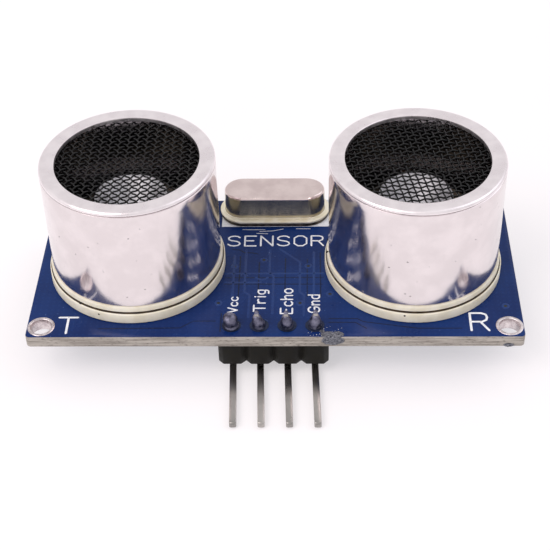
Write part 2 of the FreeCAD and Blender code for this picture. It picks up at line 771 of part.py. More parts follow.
def make_crystal():
    """The low metal crystal: welded base and can, sealed leads and the clipped quartz blank."""
    base_level = seat
    brim_level = base_level + D.crystal_base_height
    top = front + D.crystal_height

    base = new_body("crystal_base", D.crystal_x, D.crystal_y)
    plate = new_sketch(base, "crystal_base_outline", "XY_Plane", base_level)
    stadium(plate, D.brim_length, D.brim_width)
    pad(base, plate, D.crystal_base_height)
    holes = new_sketch(base, "crystal_base_holes", "XY_Plane")
    for side in (-1, 1):
        circle(holes, D.crystal_lead_spacing.half * side, 0, D.seal_diameter)
    pocket(base, holes)
    as_node(base, "crystal_base")

    can = new_body("crystal_can", D.crystal_x, D.crystal_y)
    brim = new_sketch(can, "crystal_brim", "XY_Plane", brim_level)
    stadium(brim, D.brim_length, D.brim_width)
    pad(can, brim, D.brim_thickness)
    shell = new_sketch(can, "crystal_shell", "XY_Plane", brim_level)
    stadium(shell, D.crystal_length, D.crystal_width)
    block = pad(can, shell, top - brim_level)

    def round_the_top(edge):
        """True for the edges of the flat top."""
        return all(abs(vertex.Z - top.value) < 1e-4 for vertex in edge.Vertexes)

    dress(can, "Fillet", block, edges_where(block, round_the_top), D.crystal_round)
    hollow = new_sketch(can, "crystal_hollow", "XY_Plane", brim_level)
    wall = D.crystal_wall * 2
    stadium(hollow, D.crystal_length - wall, D.crystal_width - wall)
    pocket(can, hollow, top - brim_level - D.crystal_wall, backwards=True)
    as_node(can, "crystal_can")

    beads = new_body("crystal_glass_seals", D.crystal_x, D.crystal_y)
    rings = new_sketch(beads, "crystal_seal_rings", "XY_Plane", base_level)
    for side in (-1, 1):
        circle(rings, D.crystal_lead_spacing.half * side, 0, D.seal_diameter)
        circle(rings, D.crystal_lead_spacing.half * side, 0, D.crystal_lead)
    pad(beads, rings, D.crystal_base_height)
    as_node(beads, "crystal_glass_seals")

    length = front + D.crystal_lead_tail + D.crystal_lead_head
    leads = [cylinder("crystal_lead_%d" % number, x, y, -D.crystal_lead_tail, D.crystal_lead, length)
             for number, (x, y) in enumerate(crystal_lead_centres, start=1)]
    group("crystal_leads", leads)
    make_quartz()


def make_quartz():
    """The blank, the silver films on its faces and the two spring clips that hold it."""
    level = front + D.quartz_level
    blank_top = level + D.quartz_thickness
    as_node(box("quartz_blank", D.crystal_x, D.crystal_y, level, D.quartz_length, D.quartz_width,
                D.quartz_thickness), "quartz_blank")
    films = [box("electrode_%s" % side, D.crystal_x, D.crystal_y, z, D.electrode_length,
                 D.electrode_width, D.electrode_film)
             for side, z in (("under", level - D.electrode_film), ("over", blank_top))]
    group("blank_electrodes", films)

    clips = []
    sheet = D.clip_sheet
    foot = front + D.crystal_lead_head
    inside = D.quartz_length.half
    for name, side in (("left", -1), ("right", 1)):
        body = new_body("clip_" + name, D.crystal_x, D.crystal_y)
        outline = new_sketch(body, "clip_%s_outline" % name, "XZ_Plane")
        lead = D.crystal_lead_spacing.half - D.crystal_lead.half
        outside = inside + 0.2
        corners = [(lead, foot), (outside, foot), (outside, blank_top), (outside - sheet, blank_top),
                   (outside - sheet, level), (inside - 0.4, level), (inside - 0.4, level - sheet),
                   (outside - sheet, level - sheet), (outside - sheet, foot + sheet),
                   (lead, foot + sheet)]
        polygon(outline, [(x * side, z) for x, z in corners])
        pad(body, outline, D.clip_width, midplane=True)
        clips.append(body)
    group("crystal_clips", clips)


# ---------------------------------------------------------------------------------------------------
# Parts on the back face: they hang below z = 0, so heights count downwards
# ---------------------------------------------------------------------------------------------------

lands = []


def add_land(x, y, length, width):
    """One tinned copper land on the back face."""
    lands.append(box("land_%d" % (len(lands) + 1), x, y, -D.land_height, length, width, D.land_height))


def make_chip(label, x, y, length, leads):
    """A moulded chip with a row of gull-wing leads on each long side and a silicon die inside."""
    under = -(D.land_height + D.chip_gap)
    over = under - D.chip_height
    middle = under - D.chip_height.half
    sheet = D.lead_sheet
    side = D.chip_width.half
    drawn_in = side - D.chip_draft
    body = new_body(label + "_moulding", x, y)
    outline = new_sketch(body, label + "_outline", "YZ_Plane")
    polygon(outline, [(-drawn_in, over), (drawn_in, over), (side, middle - sheet.half),
                      (side, middle + sheet.half), (drawn_in, under), (-drawn_in, under),
                      (-side, middle + sheet.half), (-side, middle - sheet.half)])
    pad(body, outline, length, midplane=True)
    die = box(label + "_die", x, y, middle - D.die_height.half, D.die_length, D.die_width, D.die_height)
    as_node(cut(label + "_body", body, die), label + "_body")

    toe = D.lead_span.half
    heel = toe - D.lead_foot
    sole = -D.land_height
    rows = leads // 2
    shins = []
    for number in range(rows):
        for way in (-1, 1):
            offset = D.lead_pitch * (number - (rows - 1) / 2)
            lead = new_body("%s_lead_%d_%d" % (label, number, way + 1), x + offset, y)
            bend = new_sketch(lead, "%s_bend_%d_%d" % (label, number, way + 1), "YZ_Plane")
            corners = [(side, middle + sheet.half), (heel - sheet, middle + sheet.half), (heel, sole),
                       (toe, sole), (toe, sole - sheet), (heel + sheet, sole - sheet),
                       (heel, middle - sheet.half), (side, middle - sheet.half)]
            polygon(bend, [(across * way, z) for across, z in corners])
            pad(lead, bend, D.lead_width, midplane=True)
            shins.append(lead)
            add_land(x + offset, y + (toe - D.lead_foot.half) * way, D.lead_width + 0.2,
                     D.lead_foot + 0.6)
    group(label + "_leads", shins)
    return box(label + "_silicon", x, y, middle - D.die_height.half, D.die_length, D.die_width,
               D.die_height)


def make_passives(name, places, height):
    """Small two-ended parts: their ceramic bodies are one sub-part and their metal ends another."""
    bodies = []
    ends = []
    for number, (x, y, along_y) in enumerate(places, start=1):
        middle = D.passive_length - D.passive_end * 2
        step = (D.passive_length - D.passive_end).half
        level = -D.land_height - height
        size = (D.passive_width, middle) if along_y else (middle, D.passive_width)
        bodies.append(box("%s_%d" % (name, number), x, y, level, size[0], size[1], height))
        for side in (-1, 1):
            end_x = as_size(x) if along_y else step * side + x
            end_y = step * side + y if along_y else as_size(y)
            size = (D.passive_width, D.passive_end) if along_y else (D.passive_end, D.passive_width)
            tag = "%s_%d_end_%d" % (name, number, side + 1)
            ends.append(box(tag, end_x, end_y, level, size[0], size[1], height))
            add_land(end_x, end_y, size[0] + 0.2, size[1] + 0.2)
    group(name + "_bodies", bodies)
    group(name + "_ends", ends)


def make_transistor(x, y):
    """The small three-lead transistor."""
    level = -D.land_height - D.transistor_height
    as_node(box("transistor_body", x, y, level, D.transistor_length, D.transistor_width,
                D.transistor_height - 0.05), "transistor_body")
    foot = (D.transistor_span - D.transistor_width).half
    row = D.transistor_width.half + foot.half
    feet = []
    for number, (along, side) in enumerate(((-0.5, -1), (0.5, -1), (0.0, 1)), start=1):
        foot_x = D.transistor_pitch * along + x
        foot_y = row * side + y
        feet.append(box("transistor_lead_%d" % number, foot_x, foot_y, -D.land_height - D.lead_sheet,
                        D.lead_width, foot, D.lead_sheet))
        add_land(foot_x, foot_y, D.lead_width + 0.3, foot + 0.2)
    group("transistor_leads", feet)


# ---------------------------------------------------------------------------------------------------
# The whole sensor
# ---------------------------------------------------------------------------------------------------

def make_sensor():
    """Build every sub-part."""
    make_board()
    make_plated_holes("mounting_hole_rings", hole_centres, D.hole_bore, D.hole_ring)
    pin_centres = [(x, D.pin_row) for x in pin_xs]
    make_plated_holes("header_pads", pin_centres, D.pin_bore, D.pin_land)
    make_plated_holes("transducer_pads", terminal_centres, D.terminal_bore, D.terminal_land)
    make_plated_holes("crystal_pads", crystal_lead_centres, D.crystal_bore, D.crystal_land)

    make_header_housing()
    for name, x in zip(PIN_NAMES, pin_xs):
        make_header_pin(name, x)
    make_solder("header_solder", pin_centres, D.pin_bore, D.pin_land, D.pin_width, True, square=True)

    make_transducer("sender_", sender_x, D.mesh_turn_sender)
    make_transducer("receiver_", receiver_x, D.mesh_turn_receiver)
    make_solder("transducer_solder", terminal_centres, D.terminal_bore, D.terminal_land,
                D.terminal_diameter, False)

    make_crystal()
    make_solder("crystal_solder", crystal_lead_centres, D.crystal_bore, D.crystal_land,
                D.crystal_lead, False)

    dies = [make_chip("driver_chip", sender_x, transducer_y, D.chip_long, 16),
            make_chip("controller_chip", D.layout_shift, as_size(1.0), D.chip_short, 14),
            make_chip("amplifier_chip", receiver_x, transducer_y, D.chip_short, 14)]
    group("chip_dies", dies)
    make_passives("resistor", RESISTORS, D.resistor_height)
    make_passives("capacitor", CAPACITORS, D.capacitor_height)
    make_transistor(*TRANSISTOR_CENTRE)
    group("surface_lands", lands)


def check_and_write():
    """Stop on any failed feature or bad shape, then write one STEP file for each sub-part."""
    doc.recompute()
    failed = [item.Name for item in doc.Objects if {"Invalid", "Error"} & set(item.State)]
    if failed:
        raise RuntimeError("failed features: " + ", ".join(failed))
    for node in nodes:
        if node.Shape.isNull() or not node.Shape.isValid() or not node.Shape.Solids:
            raise RuntimeError("bad shape: " + node.Label)
    os.makedirs("parts", exist_ok=True)
    for node in nodes:
        node.Shape.exportStep(os.path.join("parts", node.Label + ".step"))
        print("%-22s %3d solid(s) %10.3f mm3" % (node.Label, len(node.Shape.Solids), node.Shape.Volume))
    print("%d sub-parts" % len(nodes))


make_sensor()
check_and_write()
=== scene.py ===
"""Looks for an ultrasonic distance sensor: two transducers, a crystal and a pin header on a small board.

Every size in the classes is in millimetres and becomes metres where a mesh is made.
"""

import logging
import math
from collections.abc import Callable, Iterator, Sequence
from contextlib import contextmanager
from dataclasses import dataclass, field
from enum import Enum

import bmesh
import bpy
from mathutils import Matrix, Vector


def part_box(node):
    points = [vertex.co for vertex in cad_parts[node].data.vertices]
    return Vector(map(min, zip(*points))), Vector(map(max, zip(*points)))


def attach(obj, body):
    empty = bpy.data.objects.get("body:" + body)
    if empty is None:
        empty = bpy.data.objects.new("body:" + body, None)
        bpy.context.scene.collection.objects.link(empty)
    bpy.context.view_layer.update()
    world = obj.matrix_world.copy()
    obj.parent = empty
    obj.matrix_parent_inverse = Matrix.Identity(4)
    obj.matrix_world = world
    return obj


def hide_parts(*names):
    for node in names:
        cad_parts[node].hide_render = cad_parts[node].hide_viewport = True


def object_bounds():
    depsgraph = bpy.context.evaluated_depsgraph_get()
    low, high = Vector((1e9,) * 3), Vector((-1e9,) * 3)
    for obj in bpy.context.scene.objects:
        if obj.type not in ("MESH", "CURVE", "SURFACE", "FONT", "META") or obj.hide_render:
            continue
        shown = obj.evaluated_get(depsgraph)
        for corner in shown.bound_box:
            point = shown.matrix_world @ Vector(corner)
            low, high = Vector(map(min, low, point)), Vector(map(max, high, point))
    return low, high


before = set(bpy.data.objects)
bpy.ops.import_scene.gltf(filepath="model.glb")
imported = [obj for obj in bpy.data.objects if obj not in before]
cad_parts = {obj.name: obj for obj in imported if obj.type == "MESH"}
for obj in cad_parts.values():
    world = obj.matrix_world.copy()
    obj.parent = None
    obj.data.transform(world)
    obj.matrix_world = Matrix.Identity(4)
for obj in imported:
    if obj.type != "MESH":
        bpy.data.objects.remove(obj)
CAD_BOX = [list(corner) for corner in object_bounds()]

LOG = logging.getLogger("sensor")
MM = 0.001
BODY = "root"
MERGE = 0.0015 * MM
POLE_RADIUS = 0.0004
FLATNESS = 0.75
SHARP_CORNER = 50.0
Point = tuple[float, float, float]
Path = Sequence[tuple[float, float]]


# ---------------------------------------------------------------- node trees


def linear(colour: str) -> tuple[float, float, float, float]:
    """Turn an sRGB hex colour such as "#c0ffee" into linear RGBA."""
    parts = [int(colour[i : i + 2], 16) / 255 for i in (1, 3, 5)]
    return (*(c / 12.92 if c <= 0.04045 else ((c + 0.055) / 1.055) ** 2.4 for c in parts), 1.0)


def add_node(
    tree: bpy.types.NodeTree,
    kind: str,
    settings: dict[str, object] | None = None,
    inputs: dict[str | int, object] | None = None,
) -> bpy.types.Node:
    """Add one node with its settings, its values and its links.

    Args:
        tree: the material's node tree.
        kind: the node's type name.
        settings: properties of the node itself.
        inputs: a value or another node's output for each input socket.

    Returns:
        The new node.
    """
    node = tree.nodes.new(kind)
    for key, value in (settings or {}).items():
        setattr(node, key, value)
    for key, value in (inputs or {}).items():
        if isinstance(value, bpy.types.NodeSocket):
            tree.links.new(value, node.inputs[key])
        else:
            node.inputs[key].default_value = value
    return node


def mix(tree: bpy.types.NodeTree, share: object, low: object, high: object) -> bpy.types.NodeSocket:
    """Mix two colours, given as hex text or as sockets, by a share from 0 to 1."""
    colours = [linear(c) if isinstance(c, str) else c for c in (low, high)]
    node = add_node(tree, "ShaderNodeMix", {"data_type": "RGBA"}, {0: share, 6: colours[0], 7: colours[1]})
    return node.outputs[2]


def spread(
    tree: bpy.types.NodeTree, value: object, low: float, high: float, to_low: float = 0.0,
    to_high: float = 1.0
) -> bpy.types.NodeSocket:
    """Stretch the part of a pattern between low and high over to_low to to_high."""
    return add_node(
        tree,
        "ShaderNodeMapRange",
        {"interpolation_type": "SMOOTHSTEP"},
        {"Value": value, "From Min": low, "From Max": high, "To Min": to_low, "To Max": to_high},
    ).outputs[0]


def cloud(tree: bpy.types.NodeTree, size: Point | float, detail: float = 3.0) -> bpy.types.NodeSocket:
    """Give a noise pattern whose lumps have the given size in millimetres along X, Y and Z.

    Args:
        tree: the material's node tree.
        size: width of one lump, the same all round or for each axis.
        detail: octaves of finer noise.

    Returns:
        The noise value.
    """
    sizes = (size,) * 3 if isinstance(size, (int, float)) else size
    place = add_node(tree, "ShaderNodeTexCoord").outputs["Object"]
    scales = tuple(1 / (s * MM) for s in sizes)
    scaled = add_node(tree, "ShaderNodeMapping", None, {"Vector": place, "Scale": scales}).outputs[0]
    return add_node(
        tree, "ShaderNodeTexNoise", None,
        {"Vector": scaled, "Scale": 1.0, "Detail": detail, "Roughness": 0.55}
    ).outputs["Fac"]


def relief(tree: bpy.types.NodeTree, height: object, depth: float,
           below: object = None) -> bpy.types.NodeSocket:
    """Turn a height pattern into a bumped normal; depth is its full height in millimetres."""
    inputs = {"Height": height, "Distance": depth * MM, "Strength": 1.0}
    if below is not None:
        inputs["Normal"] = below
    return add_node(tree, "ShaderNodeBump", None, inputs).outputs[0]


# ---------------------------------------------------------------- finishes

_MADE: dict[str, bpy.types.Material] = {}


@dataclass(frozen=True)
class Finish:
    """A surface: two shades in soft patches, a roughness range and a fine relief.

    Colours are sRGB hex and lengths are millimetres. shine holds the Principled sockets that are the
    same all over.
    """

    name: str
    shade: str
    tint: str
    rough: tuple[float, float] = (0.4, 0.5)
    patch: Point | float = 2.0
    grain: Point | float = 0.2
    depth: float = 0.004
    metal: bool = False
    shine: tuple[tuple[str, object], ...] = ()

    def material(self) -> bpy.types.Material:
        """Give this finish's material, made once."""
        if self.name not in _MADE:
            made = bpy.data.materials.new(self.name)
            made.use_nodes = True
            made.node_tree.nodes.clear()
            shader = add_node(made.node_tree, "ShaderNodeBsdfPrincipled", None, dict(self.shine))
            if self.metal:
                shader.inputs["Metallic"].default_value = 1.0
            self.wire(made.node_tree, shader)
            add_node(made.node_tree, "ShaderNodeOutputMaterial", None, {"Surface": shader.outputs[0]})
            _MADE[self.name] = made
        return _MADE[self.name]

    def wire(self, tree: bpy.types.NodeTree, shader: bpy.types.Node) -> None:
        """Link colour, roughness and relief to the shader."""
        patches = cloud(tree, self.patch)
        grains = cloud(tree, self.grain, 2.0)
        self.link(tree, shader, mix(tree, spread(tree, patches, 0.3, 0.7), self.shade, self.tint), patches,
                  grains)

    def link(
        self,
        tree: bpy.types.NodeTree,
        shader: bpy.types.Node,
        colour: bpy.types.NodeSocket,
        wear: bpy.types.NodeSocket,
        height: bpy.types.NodeSocket,
    ) -> None:
        """Link a colour, a pattern that spreads the roughness and a height pattern to the shader."""
        tree.links.new(colour, shader.inputs["Base Color"])
        tree.links.new(spread(tree, wear, 0.3, 0.7, *self.rough), shader.inputs["Roughness"])
        tree.links.new(relief(tree, height, self.depth), shader.inputs["Normal"])


@dataclass(frozen=True)
class SolderMask(Finish):
    """Liquid solder mask over glass cloth: glossy deep blue, a faint weave and pin-prick specks."""

    weave: float = 0.55

    def wire(self, tree: bpy.types.NodeTree, shader: bpy.types.Node) -> None:
        """Link the mask's blue, its cloth weave and its specks."""
        place = add_node(tree, "ShaderNodeTexCoord").outputs["Object"]
        bands = [
            add_node(
                tree,
                "ShaderNodeTexWave",
                {"wave_type": "BANDS", "bands_direction": axis},
                {"Vector": place, "Scale": 0.314 / (self.weave * MM), "Distortion": 0.6, "Detail": 1.0},
            ).outputs["Fac"]
            for axis in ("X", "Y")
        ]
        cloth = add_node(tree, "ShaderNodeMath", {"operation": "MULTIPLY"},
                         {0: bands[0], 1: bands[1]}).outputs[0]
        patches = cloud(tree, self.patch)
        colour = mix(tree, spread(tree, patches, 0.3, 0.7), self.shade, self.tint)
        colour = mix(tree, spread(tree, cloth, 0.4, 1.0, 0.0, 0.08), colour, "#2f56a0")
        specks = spread(tree, cloud(tree, 0.28, 1.0), 0.75, 0.82, 0.0, 0.5)
        colour = mix(tree, specks, colour, "#5c76aa")
        self.link(tree, shader, colour, patches, cloud(tree, self.grain, 2.0))


@dataclass(frozen=True)
class RoutedLaminate(Finish):
    """Routed edge of glass-epoxy laminate: grey-tan cloth layers with a rough, torn surface."""

    layer: float = 0.17

    def wire(self, tree: bpy.types.NodeTree, shader: bpy.types.Node) -> None:
        """Link the layers, the torn fibres and the cutter's chatter."""
        layers = cloud(tree, (3.0, 3.0, self.layer), 2.0)
        torn = cloud(tree, self.grain, 4.0)
        colour = mix(tree, spread(tree, layers, 0.35, 0.65), self.shade, self.tint)
        colour = mix(tree, spread(tree, torn, 0.52, 0.75, 0.0, 0.7), colour, "#4f4a45")
        self.link(tree, shader, colour, torn, torn)


@dataclass(frozen=True)
class DrawnAluminium(Finish):
    """Deep-drawn aluminium: a satin mirror with fine draw lines, soft waves and a few nicks."""

    def wire(self, tree: bpy.types.NodeTree, shader: bpy.types.Node) -> None:
        """Link draw lines, waves, nicks and faint stains."""
        lines = cloud(tree, (0.22, 0.22, 7.0), 3.0)
        stains = cloud(tree, self.patch, 3.0)
        nicks = cloud(tree, (0.5, 0.5, 0.32), 1.0)
        pits = spread(tree, nicks, 0.765, 0.80)
        colour = mix(tree, spread(tree, stains, 0.35, 0.7), self.shade, self.tint)
        dark = add_node(tree, "ShaderNodeMath", {"operation": "MULTIPLY"}, {0: pits, 1: 0.7}).outputs[0]
        colour = mix(tree, dark, colour, "#6f6a6c")
        tree.links.new(colour, shader.inputs["Base Color"])
        tree.links.new(spread(tree, stains, 0.25, 0.75, *self.rough), shader.inputs["Roughness"])
        waves = relief(tree, cloud(tree, (2.6, 2.6, 3.4), 2.0), 0.035)
        drawn = relief(tree, lines, self.depth, waves)
        tree.links.new(relief(tree, pits, -0.03, drawn), shader.inputs["Normal"])


@dataclass(frozen=True)
class GlazedResistor(Finish):
    """Thick-film chip resistor: white alumina with a black glaze on the face away from the board."""

    def wire(self, tree: bpy.types.NodeTree, shader: bpy.types.Node) -> None:
        """Link the black top, the white sides and a fine ceramic grain."""
        normal = add_node(tree, "ShaderNodeNewGeometry").outputs["Normal"]
        away = add_node(tree, "ShaderNodeSeparateXYZ", None, {0: normal}).outputs["Z"]
        glazed = spread(tree, away, -0.6, -0.8)
        patches = cloud(tree, self.patch)
        white = mix(tree, patches, "#cfcabd", "#e6e2d6")
        black = mix(tree, patches, self.shade, self.tint)
        self.link(tree, shader, mix(tree, glazed, white, black), patches, cloud(tree, self.grain))


class Look(Enum):
    """The sensor's finishes, most from what the real surface is and how it is made; a few carry painted
    shade or a painted highlight.
    """

    # Liquid mask, sprayed on, exposed and cured: glossy, deep navy, the cloth showing faintly through.
    MASK = SolderMask("blue_solder_mask_over_glass_cloth", "#08245a", "#0e2f6a", (0.22, 0.34), 6.0, 0.5,
                      0.004, shine=(("Specular IOR Level", 0.18),))
    # The same mask over etched copper tracks: the metal below makes it a lighter, greener blue.
    MASK_ON_COPPER = SolderMask("blue_solder_mask_over_copper", "#0d2d67", "#133672", (0.22, 0.34), 3.0,
                                0.5, 0.004, shine=(("Specular IOR Level", 0.3),))
    # The mask in the etched gaps beside the tracks: thicker and darker.
    MASK_IN_GAP = SolderMask("blue_solder_mask_in_etched_gap", "#061534", "#0a1c42", (0.25, 0.4), 3.0, 0.5,
                             0.004, shine=(("Specular IOR Level", 0.2),))
    # Glass-epoxy laminate cut with a router bit: matt grey-tan layers with torn fibres.
    EDGE = RoutedLaminate("routed_glass_epoxy_edge", "#8b847d", "#b1aaa2", (0.55, 0.8), 1.5,
                          (0.35, 0.35, 0.12), 0.03)
    # Two-part epoxy ink, screen printed: slightly raised, chalky white.
    INK = Finish("white_screen_printed_epoxy_ink", "#dfe3ea", "#f7f8fb", (0.5, 0.65), 0.5, 0.1, 0.004)
    # Copper dipped in tin and blown level: bright, uneven, a little pink and dull.
    TINNED = Finish("hot_air_levelled_tin_on_copper", "#bdb2b4", "#eae2e2", (0.22, 0.42), 0.5, 0.35, 0.02,
                    True)
    # Wave-soldered tin alloy: grey, frosty patches between bright ones.
    SOLDER = Finish("wave_soldered_tin_alloy", "#4e4e60", "#8f8ea2", (0.34, 0.6), 0.4, 0.22, 0.03, True)
    # Deep-drawn aluminium cup, tumbled: satin mirror.
    CAN = DrawnAluminium("deep_drawn_tumbled_aluminium", "#dfd7d8", "#e9e1e2", (0.13, 0.18), 2.4, 0.3,
                         0.0012, True)
    # The same sheet turned in and flattened by the press: rougher satin, painted brighter than the wall as
    # a painted highlight.
    RIM = Finish("satin_aluminium_rim_with_painted_highlight", "#ece4e7", "#f6eff1", (0.26, 0.38), 1.4,
                 (0.5, 0.5, 0.5), 0.004, True)
    # Thin aluminium foil pressed in a die: bright, with faint spin rings.
    CONE = Finish("pressed_bright_aluminium_foil", "#e0dee3", "#f4f3f7", (0.5, 0.62), 0.8, 0.25, 0.004,
                  True)
    # Dark brown painted into narrow grooves and creases as painted shade: dull.
    GRIME = Finish("painted_shade_in_groove", "#33271e", "#54432f", (0.6, 0.8), 0.8, 0.15, 0.01)
    # Black epoxy poured into the base round the terminals: nearly black, slightly wet.
    POTTING = Finish("black_potting_epoxy", "#060607", "#101012", (0.3, 0.5), 1.5, 0.4, 0.01,
                     shine=(("Specular IOR Level", 0.25),))
    # Tin ring browned by flux: dark blue-grey and dull.
    FLUXED = Finish("flux_stained_tin_ring", "#2c3347", "#454c64", (0.45, 0.65), 0.5, 0.2, 0.01, True)
    # Mask and laminate torn by the broken tab: dark blue with grey glass fibres.
    SCUFF = Finish("torn_mask_and_glass_fibre", "#10182c", "#85868e", (0.6, 0.8), (0.2, 0.1, 0.1), 0.08,
                   0.04)
    # Steel wire cloth, black oxide and lacquer: satin black with worn crowns.
    MESH = Finish("black_lacquered_woven_wire", "#020203", "#08080a", (0.16, 0.32), 0.3, 0.08, 0.004,
                  shine=(("Specular IOR Level", 0.32),))
    # Injection-moulded ABS, uncoloured: warm ivory, slightly see-through, semi-gloss.
    IVORY = Finish("moulded_ivory_abs", "#dbd3be", "#eae4d4", (0.3, 0.42), 1.6, 0.18, 0.004,
                   shine=(("Subsurface Weight", 0.2), ("Subsurface Radius", (0.0006, 0.0005, 0.0003)),
                          ("Subsurface Scale", 1.0)))
    # Glass-filled nylon strip, moulded: matt black with a fine frosted grain.
    NYLON = Finish("moulded_glass_filled_nylon", "#0b0a08", "#16140f", (0.42, 0.6), 0.6, 0.12, 0.01,
                   shine=(("Specular IOR Level", 0.2),))
    # Square brass wire, drawn and bright-tin plated: grey mirror with lengthwise lines.
    PIN = Finish("bright_tin_plated_square_wire", "#8f8c89", "#bbb7b3", (0.24, 0.34), 4.0, (0.08, 2.6, 2.6),
                 0.003, True)
    # Tinned copper wire and stamped leads: plain satin tin.
    LEAD = Finish("tinned_stamped_lead", "#b4b4b9", "#dddde0", (0.22, 0.36), 0.5, 0.12, 0.006, True)
    # Drawn, nickel-plated steel, barrel finished: warm bright grey with faint brush lines along it.
    NICKEL = Finish("nickel_plated_drawn_steel", "#d6c5c3", "#e6d6d3", (0.1, 0.19), 1.8, (1.6, 0.1, 0.4),
                    0.0022, True)
    # The same can's wall, painted yellower and darker than its top as painted shade, and duller.
    NICKEL_WALL = Finish("nickel_wall_with_painted_shade", "#a59d8b", "#bdb5a3", (0.2, 0.28), 3.0,
                         (0.22, 0.22, 4.0), 0.0015, True)
    # The crystal's base plate, painted dull dark grey as painted shade under the brim.
    BASE_STEEL = Finish("steel_base_with_painted_shade", "#49423b", "#7a7166", (0.4, 0.6), 0.5, 0.2, 0.01, True)
    # The crystal's brim: pale cream as a painted highlight, duller than the can.
    BRIM = Finish("steel_brim_with_painted_highlight", "#f6eed6", "#fffbee", (0.55, 0.7), 0.8, 0.2, 0.008, True)
    # Transfer-moulded black epoxy: matt, gritty with silica filler.
    EPOXY = Finish("transfer_moulded_black_epoxy", "#141416", "#232326", (0.55, 0.75), 1.2, 0.07, 0.012)
    # Alumina chip with a printed glass glaze: black on top, white at the sides.
    RESISTOR = GlazedResistor("glazed_alumina_chip", "#101012", "#1e1e22", (0.2, 0.35), 0.5, 0.08, 0.004)
    # Fired barium titanate: tan, matt and faintly speckled.
    CAPACITOR = Finish("fired_barium_titanate", "#8e6d4c", "#b08d68", (0.45, 0.6), 0.35, 0.08, 0.006)
    # Rolled brass sheet, punched, painted nearly black as painted shade inside the can.
    BRASS = Finish("brass_sheet_painted_dark_as_shade", "#2b2822", "#3d382f", (0.25, 0.4), 1.2, (2.0, 0.1, 0.1), 0.003,
                   True)
    # Fired lead zirconate titanate with a silver print: pale, matt grey.
    PIEZO = Finish("silver_printed_piezo_ceramic", "#a9a79b", "#c6c4b8", (0.4, 0.6), 0.7, 0.1, 0.005)
    # Cast silicone rubber: soft milky white.
    SILICONE = Finish("cast_silicone_rubber", "#cfcfca", "#e5e5e1", (0.45, 0.6), 1.0, 0.15, 0.006,
                      shine=(("Subsurface Weight", 0.3), ("Subsurface Radius", (0.0008, 0.0008, 0.0007)),
                             ("Subsurface Scale", 1.0)))
    # Drawn enamelled copper wire.
    COPPER = Finish("drawn_copper_wire", "#5b3727", "#83543a", (0.25, 0.4), 0.4, 0.08, 0.003, True)
    # Pressed borosilicate bead: dark and glassy.
    GLASS = Finish("pressed_sealing_glass", "#2c3a36", "#45564f", (0.06, 0.14), 0.5, 0.2, 0.002,
                   shine=(("Transmission Weight", 0.3),))
    # Sawn and lapped quartz: clear with a frosted lap.
    QUARTZ = Finish("lapped_quartz", "#dfe6ea", "#f0f4f6", (0.12, 0.3), 1.0, 0.1, 0.002,
                    shine=(("Transmission Weight", 0.7),))
    # Vacuum-coated silver.
    SILVER = Finish("evaporated_silver", "#d2d2d4", "#efeff0", (0.1, 0.2), 1.0, 0.2, 0.001, True)
    # Polished silicon with its wiring layers: blue-grey mirror.
    SILICON = Finish("polished_silicon", "#3a3c48", "#5b5d70", (0.08, 0.2), 0.4, 0.1, 0.002, True)


# ---------------------------------------------------------------- modelling by operators


def leave_edit_mode() -> None:
    """Go back to object mode with nothing selected."""
    if bpy.context.object and bpy.context.object.mode != "OBJECT":
        bpy.ops.object.mode_set(mode="OBJECT")
    bpy.ops.object.select_all(action="DESELECT")


def select_only(piece: bpy.types.Object) -> None:
    """Select one object and make it active."""
    leave_edit_mode()
    piece.select_set(True)
    bpy.context.view_layer.objects.active = piece


@contextmanager
def edit_mode(piece: bpy.types.Object) -> Iterator[None]:
    """Hold a piece in edit mode with nothing selected."""
    select_only(piece)
    bpy.ops.object.mode_set(mode="EDIT")
    bpy.ops.mesh.select_all(action="DESELECT")
    yield
    bpy.ops.object.mode_set(mode="OBJECT")


def pick(piece: bpy.types.Object, kind: str, test: Callable[..., bool]) -> None:
    """Select what passes a test, in edit mode.

    Args:
        piece: the object in edit mode.
        kind: "VERT", "EDGE" or "FACE".
        test: says of one vertex, edge or face whether it is taken.
    """
    bpy.ops.mesh.select_mode(type=kind)
    bpy.ops.mesh.select_all(action="DESELECT")
    shape = bmesh.from_edit_mesh(piece.data)
    for item in {"VERT": shape.verts, "EDGE": shape.edges, "FACE": shape.faces}[kind]:
        if test(item):
            item.select_set(True)
    shape.select_flush_mode()
    bmesh.update_edit_mesh(piece.data)


def tidy(piece: bpy.types.Object, angle: float = 35.0, recalculate: bool = True) -> bpy.types.Object:
    """Merge doubles, turn the faces outwards, apply the place and smooth up to an angle in degrees."""
    with edit_mode(piece):
        bpy.ops.mesh.select_all(action="SELECT")
        bpy.ops.mesh.remove_doubles(threshold=MERGE)
        if recalculate:
            bpy.ops.mesh.normals_make_consistent(inside=False)
    bpy.ops.object.transform_apply(location=True, rotation=True, scale=True)
    bpy.ops.object.shade_smooth_by_angle(angle=math.radians(angle))
    return piece


def apply_modifier(piece: bpy.types.Object, kind: str, **settings: object) -> None:
    """Add one modifier with its settings and apply it."""
    select_only(piece)
    modifier = piece.modifiers.new(kind.title(), kind)
    for key, value in settings.items():
        setattr(modifier, key, value)
    bpy.ops.object.modifier_apply(modifier=modifier.name)


def cut_away(piece: bpy.types.Object, tool: bpy.types.Object) -> None:
    """Cut a tool's shape out of a piece and drop the tool."""
    apply_modifier(piece, "BOOLEAN", operation="DIFFERENCE", object=tool, solver="EXACT")
    bpy.data.objects.remove(tool)


def drill(piece: bpy.types.Object, holes: Sequence[Point], sides: int, depth: float, level: float) -> None:
    """Cut upright round holes, each given by X, Y and radius, through a piece round a level."""
    drills = []
    for x, y, radius in holes:
        leave_edit_mode()
        bpy.ops.mesh.primitive_cylinder_add(
            vertices=sides, radius=radius * MM, depth=depth * MM, location=(x * MM, y * MM, level * MM)
        )
        drills.append(bpy.context.object)
    tool = joined(drills)
    bpy.ops.object.transform_apply(location=True, rotation=True, scale=True)
    cut_away(piece, tool)


